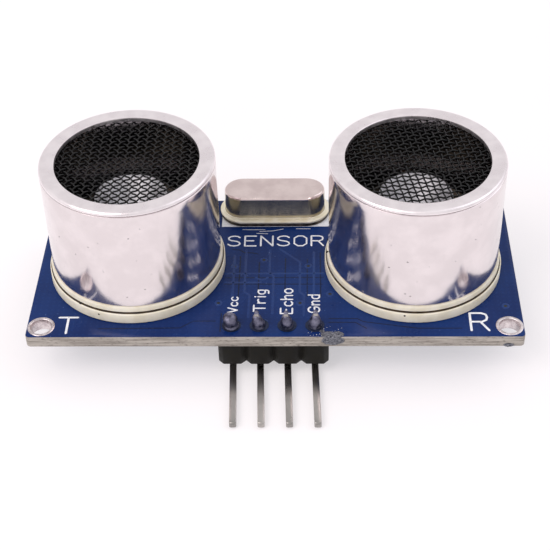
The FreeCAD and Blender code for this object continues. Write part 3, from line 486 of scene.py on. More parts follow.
def grain(place: Vector | Point, size: float | Point, fineness: int, jitter: float = 0.0, seed: int = 0,
          angle: float = 20.0) -> bpy.types.Object:
    """Make one lump of dirt, dust or torn laminate.

    Args:
        place: its middle in millimetres.
        size: its radius, the same all round or for each axis.
        fineness: how often the starting ball's faces are divided.
        jitter: how far its corners move at random.
        seed: the draw of that jitter.
        angle: degrees up to which neighbouring faces are smooth.

    Returns:
        The lump.
    """
    leave_edit_mode()
    sizes = (size,) * 3 if isinstance(size, (int, float)) else size
    bpy.ops.mesh.primitive_ico_sphere_add(
        subdivisions=fineness, radius=MM, location=Vector(place) * MM, scale=sizes
    )
    piece = bpy.context.object
    bpy.ops.object.transform_apply(location=False, rotation=False, scale=True)
    if jitter:
        with edit_mode(piece):
            bpy.ops.mesh.select_all(action="SELECT")
            bpy.ops.transform.vertex_random(offset=jitter * MM, seed=seed)
    return tidy(piece, angle)


def joined(pieces: Sequence[bpy.types.Object]) -> bpy.types.Object:
    """Join several pieces into the first one."""
    leave_edit_mode()
    for piece in pieces:
        piece.select_set(True)
    bpy.context.view_layer.objects.active = pieces[0]
    if len(pieces) > 1:
        bpy.ops.object.join()
    return pieces[0]


def copied(piece: bpy.types.Object, move: Matrix) -> bpy.types.Object:
    """Copy a piece with its own mesh, moved by a matrix."""
    twin = piece.copy()
    twin.data = piece.data.copy()
    twin.data.transform(move)
    bpy.context.scene.collection.objects.link(twin)
    return twin


def turned(centre: tuple[float, float], profile: Path, steps: int = 96,
           angle: float = 35.0) -> bpy.types.Object:
    """Turn a profile round an upright axis: one circle, extruded and resized from ring to ring.

    Args:
        centre: the axis along X and Y.
        profile: radius and height of each ring. A radius of 0 closes the shape at the axis.
        steps: corners of a ring.
        angle: degrees up to which neighbouring faces are smooth.

    Returns:
        The turned piece.
    """
    rings = [(max(radius, POLE_RADIUS), height) for radius, height in profile]
    x, y = (c * MM for c in centre)
    leave_edit_mode()
    bpy.ops.mesh.primitive_circle_add(vertices=steps, radius=rings[0][0] * MM,
                                      location=(x, y, rings[0][1] * MM))
    piece = bpy.context.object
    with edit_mode(piece):
        bpy.ops.mesh.select_mode(type="EDGE")
        bpy.ops.mesh.select_all(action="SELECT")
        for (radius, height), (next_radius, next_height) in zip(rings, rings[1:]):
            bpy.ops.mesh.extrude_region_move(
                TRANSFORM_OT_translate={"value": (0.0, 0.0, (next_height - height) * MM)}
            )
            grow = next_radius / radius
            bpy.ops.transform.resize(value=(grow, grow, 1.0), center_override=(x, y, next_height * MM))
    return tidy(piece, angle)


def arc(centre: tuple[float, float], radius: float, start: float, end: float, steps: int) -> list[tuple]:
    """Give points on an arc of a profile; angles are degrees from outwards towards up."""
    angles = [math.radians(start + (end - start) * i / steps) for i in range(steps + 1)]
    return [(centre[0] + radius * math.cos(a), centre[1] + radius * math.sin(a)) for a in angles]


def cleaned(node: str) -> bpy.types.Object:
    """Copy a CAD node with its mesh merged and its flat faces dissolved."""
    piece = bpy.data.objects.new(node + "_soft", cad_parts[node].data.copy())
    bpy.context.scene.collection.objects.link(piece)
    with edit_mode(piece):
        bpy.ops.mesh.select_all(action="SELECT")
        bpy.ops.mesh.customdata_custom_splitnormals_clear()
        bpy.ops.mesh.remove_doubles(threshold=MERGE)
        bpy.ops.mesh.dissolve_limited(angle_limit=math.radians(1.0))
    return piece


def softened(node: str, radius: float, angle: float = 30.0) -> bpy.types.Object:
    """Copy a CAD node with its sharp edges rounded.

    Args:
        node: the CAD node's name.
        radius: rounding in millimetres.
        angle: degrees above which an edge counts as sharp.

    Returns:
        The copy, with its own mesh.
    """
    piece = cleaned(node)
    apply_modifier(
        piece, "BEVEL", width=radius * MM, segments=2, limit_method="ANGLE", angle_limit=math.radians(angle)
    )
    return tidy(piece, 40.0, recalculate=False)


def split_at_corners(paths: Sequence[Sequence[Point]]) -> list[list[Point]]:
    """Split open paths at their sharp corners, so that every stroke keeps its width."""
    found = []
    for path in paths:
        part = [path[0]]
        for before, here, after in zip(path, path[1:], path[2:]):
            part.append(here)
            turn = (Vector(here) - Vector(before)).angle(Vector(after) - Vector(here))
            if turn > math.radians(SHARP_CORNER):
                found.append(part)
                part = [here]
        found.append([*part, path[-1]])
    return found


def drawn_lines(paths: Sequence[Sequence[Point]], width: float, height: float) -> bpy.types.Object:
    """Lay flat rounded lines along paths, such as printed ink or tracks under the mask.

    Args:
        paths: points in millimetres, each path at the level of the face it lies on.
        width: width of a line.
        height: how far a line stands above its face.

    Returns:
        One mesh with all the lines.
    """
    leave_edit_mode()
    bpy.ops.curve.primitive_nurbs_path_add(location=(0.0, 0.0, 0.0))
    piece = bpy.context.object
    curve = piece.data
    curve.splines.clear()
    curve.dimensions = "3D"
    curve.bevel_depth = width / 2 * MM
    curve.bevel_resolution = 1
    curve.use_fill_caps = True
    levels = {path[0][2] for path in paths}
    for path in split_at_corners(paths):
        points = [Vector(p) for p in path]
        closed = (points[0] - points[-1]).length < 1e-6 and len(points) > 2
        sizes = [1.0] * len(points)
        if closed:
            points, sizes = points[:-1], sizes[:-1]
        else:
            start = points[0] + (points[0] - points[1]).normalized() * width * 0.45
            end = points[-1] + (points[-1] - points[-2]).normalized() * width * 0.45
            points, sizes = [start, *points, end], [0.35, *sizes, 0.35]
        spline = curve.splines.new("POLY")
        spline.points.add(len(points) - 1)
        spline.use_cyclic_u = closed
        for point, place, size in zip(spline.points, points, sizes):
            point.co = (*(place * MM), 1.0)
            point.radius = size
    select_only(piece)
    bpy.ops.object.convert(target="MESH")
    for level in levels:
        with edit_mode(piece):
            pick(piece, "VERT", lambda v: abs(v.co.z - level * MM) < width * MM)
            bpy.ops.transform.resize(value=(1.0, 1.0, 2 * height / width),
                                     center_override=(0.0, 0.0, level * MM))
    return tidy(piece, 60.0)


def finished(
    piece: bpy.types.Object, name: str, look: Look | None, slot: str, nodes: Sequence[str] = ()
) -> bpy.types.Object:
    """Name and dress a piece, tie it to the body and hide the CAD nodes it stands for.

    Args:
        piece: the modelled piece.
        name: its name in the model.
        look: its finish, or None where the piece has its materials already.
        slot: not used.
        nodes: CAD nodes that it replaces.

    Returns:
        The same piece.
    """
    piece.name = name
    piece.data.name = name
    if look is not None:
        piece.data.materials.clear()
        piece.data.materials.append(look.value.material())
    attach(piece, BODY)
    if nodes:
        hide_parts(*nodes)
    LOG.info("%s: %d faces", name, len(piece.data.polygons))
    return piece


def paint(
    piece: bpy.types.Object, looks: Sequence[Look], zone: Callable[[bpy.types.MeshPolygon], int]
) -> None:
    """Give a piece several finishes; zone says which one a face takes."""
    piece.data.materials.clear()
    for look in looks:
        piece.data.materials.append(look.value.material())
    for face in piece.data.polygons:
        face.material_index = zone(face)


def dress(look: Look, *nodes: str) -> None:
    """Give CAD nodes that keep their shape a finish."""
    for node in nodes:
        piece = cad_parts[node]
        if not piece.material_slots:
            piece.data.materials.append(None)
        for slot in piece.material_slots:
            slot.material = look.value.material()
        LOG.info("%s dressed as %s", node, look.value.name)


def centre_of(node: str) -> tuple[float, float]:
    """Give the middle of a CAD node along X and Y in millimetres."""
    low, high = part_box(node)
    return ((low.x + high.x) / 2 / MM, (low.y + high.y) / 2 / MM)


def heights_of(node: str) -> tuple[float, float]:
    """Give the lowest and highest level of a CAD node in millimetres."""
    low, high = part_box(node)
    return (low.z / MM, high.z / MM)


# ---------------------------------------------------------------- printed lettering

# One stroke letter: its width and its lines, in a cell that is 1 high from the base line.
LETTERS: dict[str, tuple[float, tuple[Path, ...]]] = {
    "S": (0.64,
          (((0.62, 0.84), (0.5, 0.97), (0.32, 1.0), (0.12, 0.95), (0.01, 0.8), (0.03, 0.65), (0.16, 0.55),
                  (0.47, 0.46), (0.6, 0.35), (0.63, 0.2), (0.52, 0.05), (0.32, 0.0), (0.12, 0.04),
                  (0.0, 0.17)),)),
    "E": (0.6, (((0.6, 1.0), (0.0, 1.0), (0.0, 0.0), (0.6, 0.0)), ((0.0, 0.52), (0.46, 0.52)))),
    "N": (0.64, (((0.0, 0.0), (0.0, 1.0), (0.64, 0.0), (0.64, 1.0)),)),
    "O": (0.66, (((0.2, 1.0), (0.46, 1.0), (0.66, 0.78), (0.66, 0.22), (0.46, 0.0), (0.2, 0.0), (0.0, 0.22),
                  (0.0, 0.78), (0.2, 1.0)),)),
    "R": (0.64, (((0.0, 0.0), (0.0, 1.0), (0.42, 1.0), (0.58, 0.92), (0.62, 0.76), (0.58, 0.6), (0.42, 0.5),
                  (0.0, 0.5)), ((0.36, 0.5), (0.64, 0.0)))),
    "T": (0.72, (((0.0, 1.0), (0.72, 1.0)), ((0.36, 1.0), (0.36, 0.0)))),
    "V": (0.66, (((0.0, 1.0), (0.33, 0.0), (0.66, 1.0)),)),
    "G": (0.66, (((0.64, 0.8), (0.5, 0.96), (0.3, 1.0), (0.1, 0.92), (0.0, 0.7), (0.0, 0.3), (0.1, 0.08),
                  (0.3, 0.0), (0.52, 0.04), (0.65, 0.2), (0.65, 0.45), (0.38, 0.45)),)),
    "c": (0.5,
          (((0.5, 0.56), (0.36, 0.66), (0.16, 0.64), (0.02, 0.48), (0.02, 0.18), (0.16, 0.02), (0.36, 0.0),
                 (0.5, 0.1)),)),
    "r": (0.44, (((0.0, 0.0), (0.0, 0.66)), ((0.0, 0.42), (0.14, 0.6), (0.34, 0.66), (0.44, 0.62)))),
    "i": (0.1, (((0.05, 0.0), (0.05, 0.66)), ((0.05, 0.88), (0.05, 0.94)))),
    "g": (0.5,
          (((0.48, 0.56), (0.34, 0.66), (0.16, 0.64), (0.02, 0.48), (0.02, 0.2), (0.16, 0.04), (0.34, 0.02),
                 (0.48, 0.14)), ((0.48, 0.66), (0.48, -0.14), (0.36, -0.28), (0.1, -0.28)))),
    "h": (0.48,
          (((0.0, 0.0), (0.0, 1.0)), ((0.0, 0.42), (0.16, 0.62), (0.34, 0.66), (0.46, 0.54), (0.46, 0.0)))),
    "o": (0.5,
          (((0.16, 0.66), (0.34, 0.66), (0.5, 0.48), (0.5, 0.18), (0.34, 0.0), (0.16, 0.0), (0.0, 0.18),
                 (0.0, 0.48), (0.16, 0.66)),)),
    "n": (0.48, (((0.0, 0.0), (0.0, 0.66)),
                 ((0.0, 0.42), (0.16, 0.62), (0.34, 0.66), (0.46, 0.54), (0.46, 0.0)))),
    "d": (0.5, (((0.48, 1.0), (0.48, 0.0)),
                ((0.48, 0.52), (0.34, 0.66), (0.16, 0.64), (0.02, 0.48), (0.02, 0.18),
                (0.16, 0.02), (0.34, 0.0), (0.48, 0.12)))),
}
LETTER_GAP = 0.26


@dataclass(frozen=True)
class Label:
    """A generic word printed on the board; start is the foot of its first letter."""

    text: str
    start: tuple[float, float]
    length: float
    height: float
    upright: bool = False

    def paths(self, level: float) -> list[list[Point]]:
        """Give the word's lines at a level in millimetres."""
        natural = sum(LETTERS[c][0] for c in self.text) + LETTER_GAP * (len(self.text) - 1)
        scale = self.length / natural
        found, place = [], 0.0
        for letter in self.text:
            width, lines = LETTERS[letter]
            for line in lines:
                points = [((place + u) * scale, v * self.height) for u, v in line]
                if self.upright:
                    points = [(-v, u) for u, v in points]
                found.append([(self.start[0] + u, self.start[1] + v, level) for u, v in points])
            place += width + LETTER_GAP
        return found


# ---------------------------------------------------------------- the board


def box_path(x0: float, y0: float, x1: float, y1: float, level: float) -> list[Point]:
    """Give a closed rectangle at a level."""
    return [(x0, y0, level), (x1, y0, level), (x1, y1, level), (x0, y1, level), (x0, y0, level)]


@dataclass
class Board:
    """The laminate with its mask, tracks, vias, printing and the scar of its breakaway tab."""

    corner: float = 0.4
    edge_round: float = 0.05
    holes: tuple[tuple[float, float, float], ...] = (
        (-21.35, -8.6, 1.0), (21.35, -8.6, 1.0), (-21.35, 8.6, 1.0), (21.35, 8.6, 1.0),
        (-13.2, -4.9, 0.55), (-13.2, 5.1, 0.55), (13.0, -4.9, 0.55), (13.0, 5.1, 0.55),
        (-2.69, 8.05, 0.35), (2.19, 8.05, 0.35),
        (-3.91, -8.5, 0.55), (-1.37, -8.5, 0.55), (1.17, -8.5, 0.55), (3.71, -8.5, 0.55),
    )
    ink: float = 0.22
    title_ink: float = 0.17
    name_ink: float = 0.16
    ink_height: float = 0.03
    hair: tuple[float, float] = (0.06, 0.015)
    outline: tuple[float, float] = (0.16, 0.02)
    outline_gap: tuple[float, float] = (0.55, -0.35)
    track: tuple[float, float] = (0.24, 0.016)
    gap: tuple[float, float] = (0.13, 0.008)
    dust_and_glint_grains: int = 26
    labels: tuple[Label, ...] = (
        Label("T", (-19.81, -9.48), 1.71, 2.1),
        Label("R", (17.86, -9.2), 1.6, 2.3),
        Label("SENSOR", (-4.75, 2.8), 9.3, 1.5),
        Label("Vcc", (-3.46, -6.75), 2.1, 0.86, True),
        Label("Trig", (-0.9, -6.6), 2.95, 1.04, True),
        Label("Echo", (1.63, -6.9), 3.4, 1.08, True),
        Label("Gnd", (4.14, -6.75), 2.4, 1.04, True),
    )
    crystal_block: tuple[tuple[float, float], tuple[float, float]] = ((-5.5, 5.75), (5.25, 9.9))
    vias: tuple[tuple[float, float], ...] = (
        (-3.98, -0.27), (-1.18, 0.68), (3.09, -0.23), (-5.25, -5.45), (-0.94, -8.04), (2.33, -5.48),
        (5.13, -4.24), (21.25, -5.96),
    )
    back: float = field(init=False)
    front: float = field(init=False)

    def __post_init__(self) -> None:
        """Take the board's two faces from the CAD."""
        self.back, self.front = heights_of("pcb_board")

    def build(self) -> None:
        """Build and dress every piece of the board."""
        self.laminate()
        self.rings()
        self.tracks()
        self.via_rings()
        self.printing()
        self.tab_scar()
        dress(Look.TINNED, "transducer_pads", "crystal_pads")
        dress(Look.FLUXED, "header_pads")

    def laminate(self) -> None:
        """Cut the board from a plate: rounded outline, drilled holes and softened edges."""
        low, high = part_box("pcb_board")
        leave_edit_mode()
        bpy.ops.mesh.primitive_cube_add(size=1.0, location=(low + high) / 2, scale=high - low)
        piece = bpy.context.object
        bpy.ops.object.transform_apply(location=True, rotation=True, scale=True)
        with edit_mode(piece):
            pick(piece, "EDGE", lambda e: abs(e.verts[0].co.z - e.verts[1].co.z) > 1 * MM)
            bpy.ops.mesh.bevel(offset=self.corner * MM, segments=5, affect="EDGES")
            pick(piece, "EDGE", lambda e: abs(e.verts[0].co.z - e.verts[1].co.z) < 0.01 * MM)
            bpy.ops.mesh.bevel(offset=self.edge_round * MM, segments=2, affect="EDGES")
        drill(piece, self.holes, 40, 3.0, 0.6)
        tidy(piece, 30.0)
        paint(piece, (Look.MASK, Look.EDGE), lambda face: int(abs(face.normal.z) <= FLATNESS))
        finished(piece, "board_laminate", None, "board_laminate", ["pcb_board"])

    def rings(self) -> None:
        """Plate the four mounting holes: a barrel with a levelled, slightly domed ring on each face."""
        low, high = heights_of("mounting_hole_rings")
        bore, barrel, ring = 0.95, 1.0, 1.25
        profile = [
            (barrel, self.front), (ring, self.front), (ring - 0.02, high - 0.015), (ring - 0.1, high),
            (bore + 0.09, high), (bore + 0.03, high - 0.02), (bore, high - 0.08),
            (bore, low + 0.08), (bore + 0.03, low + 0.02), (bore + 0.09, low),
            (ring - 0.1, low), (ring - 0.02, low + 0.015), (ring, self.back), (barrel, self.back),
            (barrel, self.front),
        ]
        first = turned(self.holes[0][:2], profile, 64, 50.0)
        pieces = [first]
        for x, y, _ in self.holes[1:4]:
            move = Matrix.Translation(Vector((x - self.holes[0][0], y - self.holes[0][1], 0.0)) * MM)
            pieces.append(copied(first, move))
        finished(joined(pieces), "mounting_rings", Look.TINNED, "tinned_metal", ["mounting_hole_rings"])

    def tracks(self) -> None:
        """Lay the copper tracks that show under the mask, and the dark gaps beside some of them."""
        copper = [
            [(-4.0, 1.3), (-4.0, -5.0)],
            [(-2.9, 2.2), (-2.9, -3.9), (-2.4, -4.4), (-2.4, -7.4)],
            [(-0.6, 2.2), (-0.6, -1.2), (-0.2, -1.7), (-0.2, -6.9)],
            [(0.34, 2.31), (2.29, 0.36), (2.3, -3.95), (2.7, -4.4), (2.7, -7.2)],
            [(3.63, 1.8), (3.63, -4.8)],
            [(-4.8, -1.3), (4.5, -1.3)],
            [(-4.8, -2.6), (-1.4, -2.6)],
            [(-1.87, -1.9), (-1.3, -2.3), (-0.73, -1.9)],
        ]
        behind = [
            [(-17.6, 3.6), (-17.6, 4.6), (-19.6, 5.4)],
            [(-16.4, 3.6), (-16.4, 5.6), (-18.0, 7.2), (-18.0, 8.6)],
            [(-12.6, 3.5), (-12.6, 4.2), (-11.2, 5.6), (-7.8, 5.6)],
            [(-9.0, 3.3), (-7.2, 4.0), (-5.2, 4.0), (-5.0, 3.8)],
            [(-9.0, -3.2), (-7.6, -3.6), (-6.2, -5.0), (-3.9, -7.2)],
            [(-1.4, -7.4), (-1.4, -5.2), (-2.6, -4.0), (-2.6, -2.3)],
            [(1.2, -7.4), (1.2, -2.4)],
            [(3.7, -7.4), (3.7, -5.6), (5.6, -3.6), (9.4, -3.6)],
            [(2.6, 4.3), (2.6, 5.8), (2.2, 6.4), (2.2, 7.2)],
            [(-2.6, 4.3), (-2.6, 7.1)],
            [(5.2, 2.0), (8.0, 2.0), (8.4, 1.6)],
            [(9.6, 3.4), (9.6, 5.6), (10.2, 6.0)],
            [(12.4, 3.4), (12.4, 4.2)],
            [(16.4, 3.4), (16.4, 4.6), (18.4, 6.4), (19.8, 6.4)],
            [(16.4, -3.2), (16.4, -4.8), (18.0, -6.2), (19.6, -6.2)],
            [(-20.2, -3.4), (-20.2, -6.6), (-18.6, -8.4), (-6.0, -8.8)],
            [(20.6, -3.0), (20.6, 4.8)],
            [(6.2, -8.8), (18.6, -8.8)],
        ]
        gaps = [
            [(-4.8, -1.9), (4.5, -1.9)],
            [(-4.8, -2.8), (4.4, -2.85)],
            [(-4.34, 2.34), (-3.6, 2.2), (-3.1, 1.8), (-2.4, 1.75), (-1.78, 1.57)],
            [(-3.45, 1.2), (-3.45, -4.7)],
            [(-1.6, 0.3), (-1.6, -4.4)],
            [(0.9, 0.9), (0.9, -3.9)],
            [(3.0, 0.8), (3.0, -4.6)],
            [(4.25, 1.7), (4.25, -4.6)],
            [(-4.9, -6.9), (-4.9, -9.3)],
            [(5.0, -7.6), (7.6, -7.6), (8.1, -8.0), (13.0, -8.9), (17.0, -8.9)],
            [(5.0, -8.1), (7.4, -8.1), (8.4, -8.9)],
            [(-5.4, -7.9), (-7.4, -7.9), (-8.6, -8.8), (-16.0, -8.9)],
        ]
        copper, gaps, behind = (
            [[(x, y, level) for x, y in path] for path in paths]
            for paths, level in ((copper, self.front), (gaps, self.front), (behind, self.back))
        )
        lines = drawn_lines(copper + behind, *self.track)
        finished(lines, "tracks_under_mask", Look.MASK_ON_COPPER, "board_laminate")
        finished(drawn_lines(gaps, *self.gap), "etched_gaps", Look.MASK_IN_GAP, "board_laminate")

    def via_rings(self) -> None:
        """Drop a small masked ring with a dark filled middle at each via."""
        rise = 0.025
        ring = turned((0.0, 0.0), [(0.16, 0.0), (0.38, 0.0), (0.36, rise * 0.7), (0.3, rise), (0.2, rise),
                                   (0.16, rise * 0.5), (0.16, 0.0)], 24)
        plug = turned((0.0, 0.0), [(0.0, 0.0), (0.17, 0.0), (0.17, rise * 0.4), (0.0, rise * 0.3)], 16)
        spots = [(x, y, self.front) for x, y in self.vias]
        spots += [(x, y, self.back) for x,
                  y in ((-9.8, 4.6), (-5.8, -2.4), (6.4, -5.2), (7.2, 3.8), (14.6, 4.9),
                                                  (-14.9, -4.4), (18.9, 1.2), (0.1, 5.2), (-19.9, 0.2))]
        for source, name, look in ((ring, "via_rings", Look.MASK_ON_COPPER),
                                   (plug, "via_plugs", Look.EPOXY)):
            pieces = []
            for x, y, level in spots:
                face = Matrix.Identity(4) if level > 0.5 else Matrix.Rotation(math.pi, 4, "X")
                pieces.append(copied(source, Matrix.Translation(Vector((x, y, level)) * MM) @ face))
            bpy.data.objects.remove(source)
            finished(joined(pieces), name, look, "board_laminate")

    def printing(self) -> None:
        """Print the generic marks, the crystal's outline and the outlines of the chips on the back."""
        top, under = self.front, self.back
        for name, labels, width in (
            ("printed_side_marks", self.labels[:2], self.ink),
            ("printed_title", self.labels[2:3], self.title_ink),
            ("printed_pin_names", self.labels[3:], self.name_ink),
        ):
            lines = [path for label in labels for path in label.paths(top)]
            finished(drawn_lines(lines, width, self.ink_height), name, Look.INK, "board_laminate")
        leave_edit_mode()
        (west, south), (east, north) = self.crystal_block
        bpy.ops.mesh.primitive_cube_add(
            size=1.0, location=((west + east) / 2 * MM, (south + north) / 2 * MM, top * MM),
            scale=((east - west) * MM, (north - south) * MM, 2 * self.ink_height * MM),
        )
        block = bpy.context.object
        bpy.ops.object.transform_apply(location=True, rotation=True, scale=True)
        apply_modifier(block, "BEVEL", width=0.02 * MM, segments=2)
        finished(tidy(block), "printed_crystal_block", Look.INK, "board_laminate")
        hairs = [[(-3.4, 5.3, top), (-1.2, 5.28, top)],
                 [(-1.7, 5.0, top), (-0.4, 5.1, top), (0.6, 5.38, top)],
                 [(1.9, 5.42, top), (3.3, 5.4, top)], [(-2.0, 4.72, top), (-0.9, 4.66, top)]]
        finished(drawn_lines(hairs, *self.hair), "stray_ink_hairs", Look.INK, "board_laminate")
        lines = []
        for name in ("driver", "controller", "amplifier"):
            low, high = (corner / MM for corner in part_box(name + "_chip_body"))
            past_x, past_y = self.outline_gap
            lines.append(box_path(low.x - past_x, low.y - past_y, high.x + past_x, high.y + past_y, under))
        lines.append([(-5.18, -7.05, under), (4.98, -7.05, under)])
        lines.append([(-5.18, -9.85, under), (-5.18, -7.05, under)])
        lines.append([(4.98, -9.85, under), (4.98, -7.05, under)])
        finished(drawn_lines(lines, *self.outline), "printed_outlines", Look.INK, "board_laminate")

    def tab_scar(self) -> None:
        """Break the tabs off the front edge: torn lumps of laminate with glass dust on the face, white
        specks that also stand in for glints.
        """
        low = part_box("pcb_board")[0] / MM
        lumps = []
        for x, y, z, size, seed in (
            (5.35, low.y - 0.02, 0.75, (1.05, 0.2, 0.5), 3),
            (4.85, low.y + 0.3, 1.18, (0.62, 0.42, 0.13), 5),
            (5.75, low.y + 0.32, 1.17, (0.62, 0.4, 0.12), 8),
            (21.2, low.y + 0.05, 0.16, (0.55, 0.16, 0.24), 11),
            (4.35, low.y + 0.75, 1.18, (0.26, 0.2, 0.08), 17),
        ):
            lumps.append(grain((x, y, z), size, 3, 0.06, seed))
        finished(joined(lumps), "broken_tab", Look.SCUFF, "board_laminate")
        # White specks of glass dust, which also serve as painted glints near the Gnd joint.
        specks = []
        for index in range(self.dust_and_glint_grains):
            across, along = (index * 0.618034) % 1.0, (index * 0.414214 + 0.13) % 1.0
            place = Vector((3.0 + 3.2 * across, low.y + 0.1 + 1.5 * along * along, 1.2))
            size = 0.015 + 0.03 * ((index * 0.732) % 1.0)
            specks.append(grain(place, size, 1, 0.02, index, 10.0))
        finished(joined(specks), "glass_dust_and_glints", Look.INK, "board_laminate")


# ---------------------------------------------------------------- pin header


@dataclass(frozen=True)
class Joint:
    """A hand-soldered pin: its profile over the ring, how its pin leans and how high the pin stands."""

    profile: tuple[tuple[float, float], ...]
    lean: tuple[float, float]
    top: float
    seed: int


CONE_JOINT = ((0.0, 0.0), (0.6, 0.0), (0.59, 0.06), (0.57, 0.18), (0.58, 0.34), (0.56, 0.52), (0.5, 0.74),
              (0.43, 0.95), (0.37, 1.12), (0.33, 1.24), (0.28, 1.32), (0.0, 1.36))
BLOB_JOINT = ((0.0, 0.0), (0.7, 0.0), (0.68, 0.05), (0.62, 0.12), (0.59, 0.22), (0.6, 0.36), (0.65, 0.55),
              (0.68, 0.75), (0.66, 0.95), (0.57, 1.14), (0.42, 1.27), (0.22, 1.34), (0.0, 1.36))


@dataclass
class PinHeader:
    """The right-angle header: moulded strip, four bent square pins and their joints."""

    soft: float = 0.06
    tip_width: float = 0.62
    soldered_from: float = 1.3
    joint_height: float = 1.3
    uneven: float = 0.028
    bend_row: float = 0.32
    splay: float = -1.9
    joints: dict[str, Joint] = field(default_factory=lambda: {
        "vcc": Joint(BLOB_JOINT, (-0.12, -0.05), 2.45, 4),
        "trig": Joint(CONE_JOINT, (-0.2, -0.1), 3.1, 7),
        "echo": Joint(CONE_JOINT, (-0.08, -0.12), 3.1, 9),
        "gnd": Joint(CONE_JOINT, (0.06, -0.04), 3.1, 13),
    })

    def build(self) -> None:
        """Build the strip, the pins and the joints."""
        finished(softened("header_housing", 0.09), "header_strip", Look.NYLON, "header_plastic",
                 ["header_housing"])
        solder = []
        for name, joint in self.joints.items():
            self.pin(name, joint)
            solder.append(self.solder(name, joint))
        finished(joined(solder), "header_joints", Look.SOLDER, "solder", ["header_solder"])

    def pin(self, name: str, joint: Joint) -> None:
        """Round a pin's edges and lean its soldered end."""
        node = "header_pin_" + name
        piece = softened(node, self.soft, 25.0)
        top = heights_of(node)[1]
        x, row = centre_of(node)[0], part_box(node)[1].y / MM - self.bend_row
        with edit_mode(piece):
            pick(piece, "VERT", lambda v: v.co.z > 2.4 * MM)
            move = Vector((joint.lean[0], joint.lean[1], joint.top - top)) * MM
            bpy.ops.transform.translate(value=move)
            bpy.ops.transform.resize(
                value=(self.tip_width, self.tip_width, 1.0),
                center_override=((x + joint.lean[0]) * MM, (row + joint.lean[1]) * MM, joint.top * MM),
            )
            pick(piece, "VERT", lambda v: v.co.y < (row - 0.9) * MM)
            bpy.ops.transform.rotate(
                value=math.radians(self.splay), orient_axis="Z", center_override=(x * MM, row * MM, 0.0)
            )
        tidy(piece, 40.0, recalculate=False)
        paint(piece, (Look.PIN, Look.SOLDER), lambda face: int(face.center.z > self.soldered_from * MM))
        finished(piece, "pin_" + name, None, "header_pin", [node])

    def solder(self, name: str, joint: Joint) -> bpy.types.Object:
        """Build one joint round its pin, leaning with it and slightly uneven."""
        x = centre_of("header_pin_" + name)[0]
        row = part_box("header_pin_" + name)[1].y / MM - self.bend_row
        foot = heights_of("header_solder")[1] - self.joint_height
        piece = turned((x, row), [(radius, foot + height) for radius, height in joint.profile], 32, 60.0)
        with edit_mode(piece):
            for share, level in ((0.35, 0.25), (0.35, 0.6), (0.3, 0.95)):
                pick(piece, "VERT", lambda v: v.co.z > (foot + level) * MM)
                bpy.ops.transform.translate(value=Vector((*joint.lean, 0.0)) * share * MM)
            pick(piece, "VERT", lambda v: v.co.z > (foot + 0.02) * MM)
            bpy.ops.transform.vertex_random(offset=self.uneven * MM, seed=joint.seed)
        return tidy(piece, 70.0)


# ---------------------------------------------------------------- transducers


@dataclass
class WovenDisc:
    """The wire cloth under a can's rim: two crossing sets of waved wires, trimmed round."""

    centre: tuple[float, float]
    level: float
    turn: float
    radius: float = 7.45
    pitch: float = 0.59
    wire: float = 0.16
    flat: float = 1.28
    steps: int = 8
    sides: int = 6

    def waved_wire(self) -> bpy.types.Object:
        """Extrude one wire along X through all its waves."""
        step = 2 * self.pitch / self.steps
        count = 2 * (math.ceil((self.radius + 2 * self.pitch) / step))
        crown = self.wire / 2
        places = [(step * (i - count // 2)) for i in range(count + 1)]
        waves = [crown * math.cos(math.pi * x / self.pitch) for x in places]
        leave_edit_mode()
        bpy.ops.mesh.primitive_circle_add(
            vertices=self.sides, radius=self.wire / 2 * MM, rotation=(0.0, math.pi / 2, 0.0),
            location=(places[0] * MM, 0.0, waves[0] * MM), scale=(1.0, self.flat, 1.0),
        )
        piece = bpy.context.object
        with edit_mode(piece):
            bpy.ops.mesh.select_mode(type="EDGE")
            bpy.ops.mesh.select_all(action="SELECT")
            for (x, z), (next_x, next_z) in zip(zip(places, waves), zip(places[1:], waves[1:])):
                bpy.ops.mesh.extrude_region_move(
                    TRANSFORM_OT_translate={"value": ((next_x - x) * MM, 0.0, (next_z - z) * MM)}
                )
        bpy.ops.object.transform_apply(location=True, rotation=True, scale=True)
        return piece

    def build(self) -> bpy.types.Object:
        """Weave the cloth from wires trimmed to a round outline and closed at their ends."""
        wire = self.waved_wire()
        rows = math.floor(self.radius / self.pitch)
        sets = []
        for cross in (False, True):
            wires = []
            for row in range(-rows, rows + 1):
                shift = self.pitch if row % 2 else 0.0
                strand = copied(wire, Matrix.Translation((shift * MM, row * self.pitch * MM, 0.0)))
                reach = math.sqrt(self.radius**2 - (row * self.pitch) ** 2)
                with edit_mode(strand):
                    pick(strand, "VERT", lambda v: abs(v.co.x) > reach * MM)
                    bpy.ops.mesh.delete(type="VERT")
                    bpy.ops.mesh.select_mode(type="EDGE")
                    bpy.ops.mesh.select_non_manifold()
                    bpy.ops.mesh.fill_holes(sides=0)
                wires.append(strand)
            cloth = joined(wires)
            if cross:
                quarter = Matrix.Rotation(math.pi / 2, 4, "Z")
                cloth.data.transform(quarter @ Matrix.Scale(-1, 4, (0.0, 0.0, 1.0)))
            sets.append(cloth)
        bpy.data.objects.remove(wire)
        cloth = joined(sets)
        place = Matrix.Translation(Vector((*self.centre, self.level)) * MM)
        cloth.data.transform(place @ Matrix.Rotation(math.radians(self.turn), 4, "Z"))
        return tidy(cloth, 70.0)


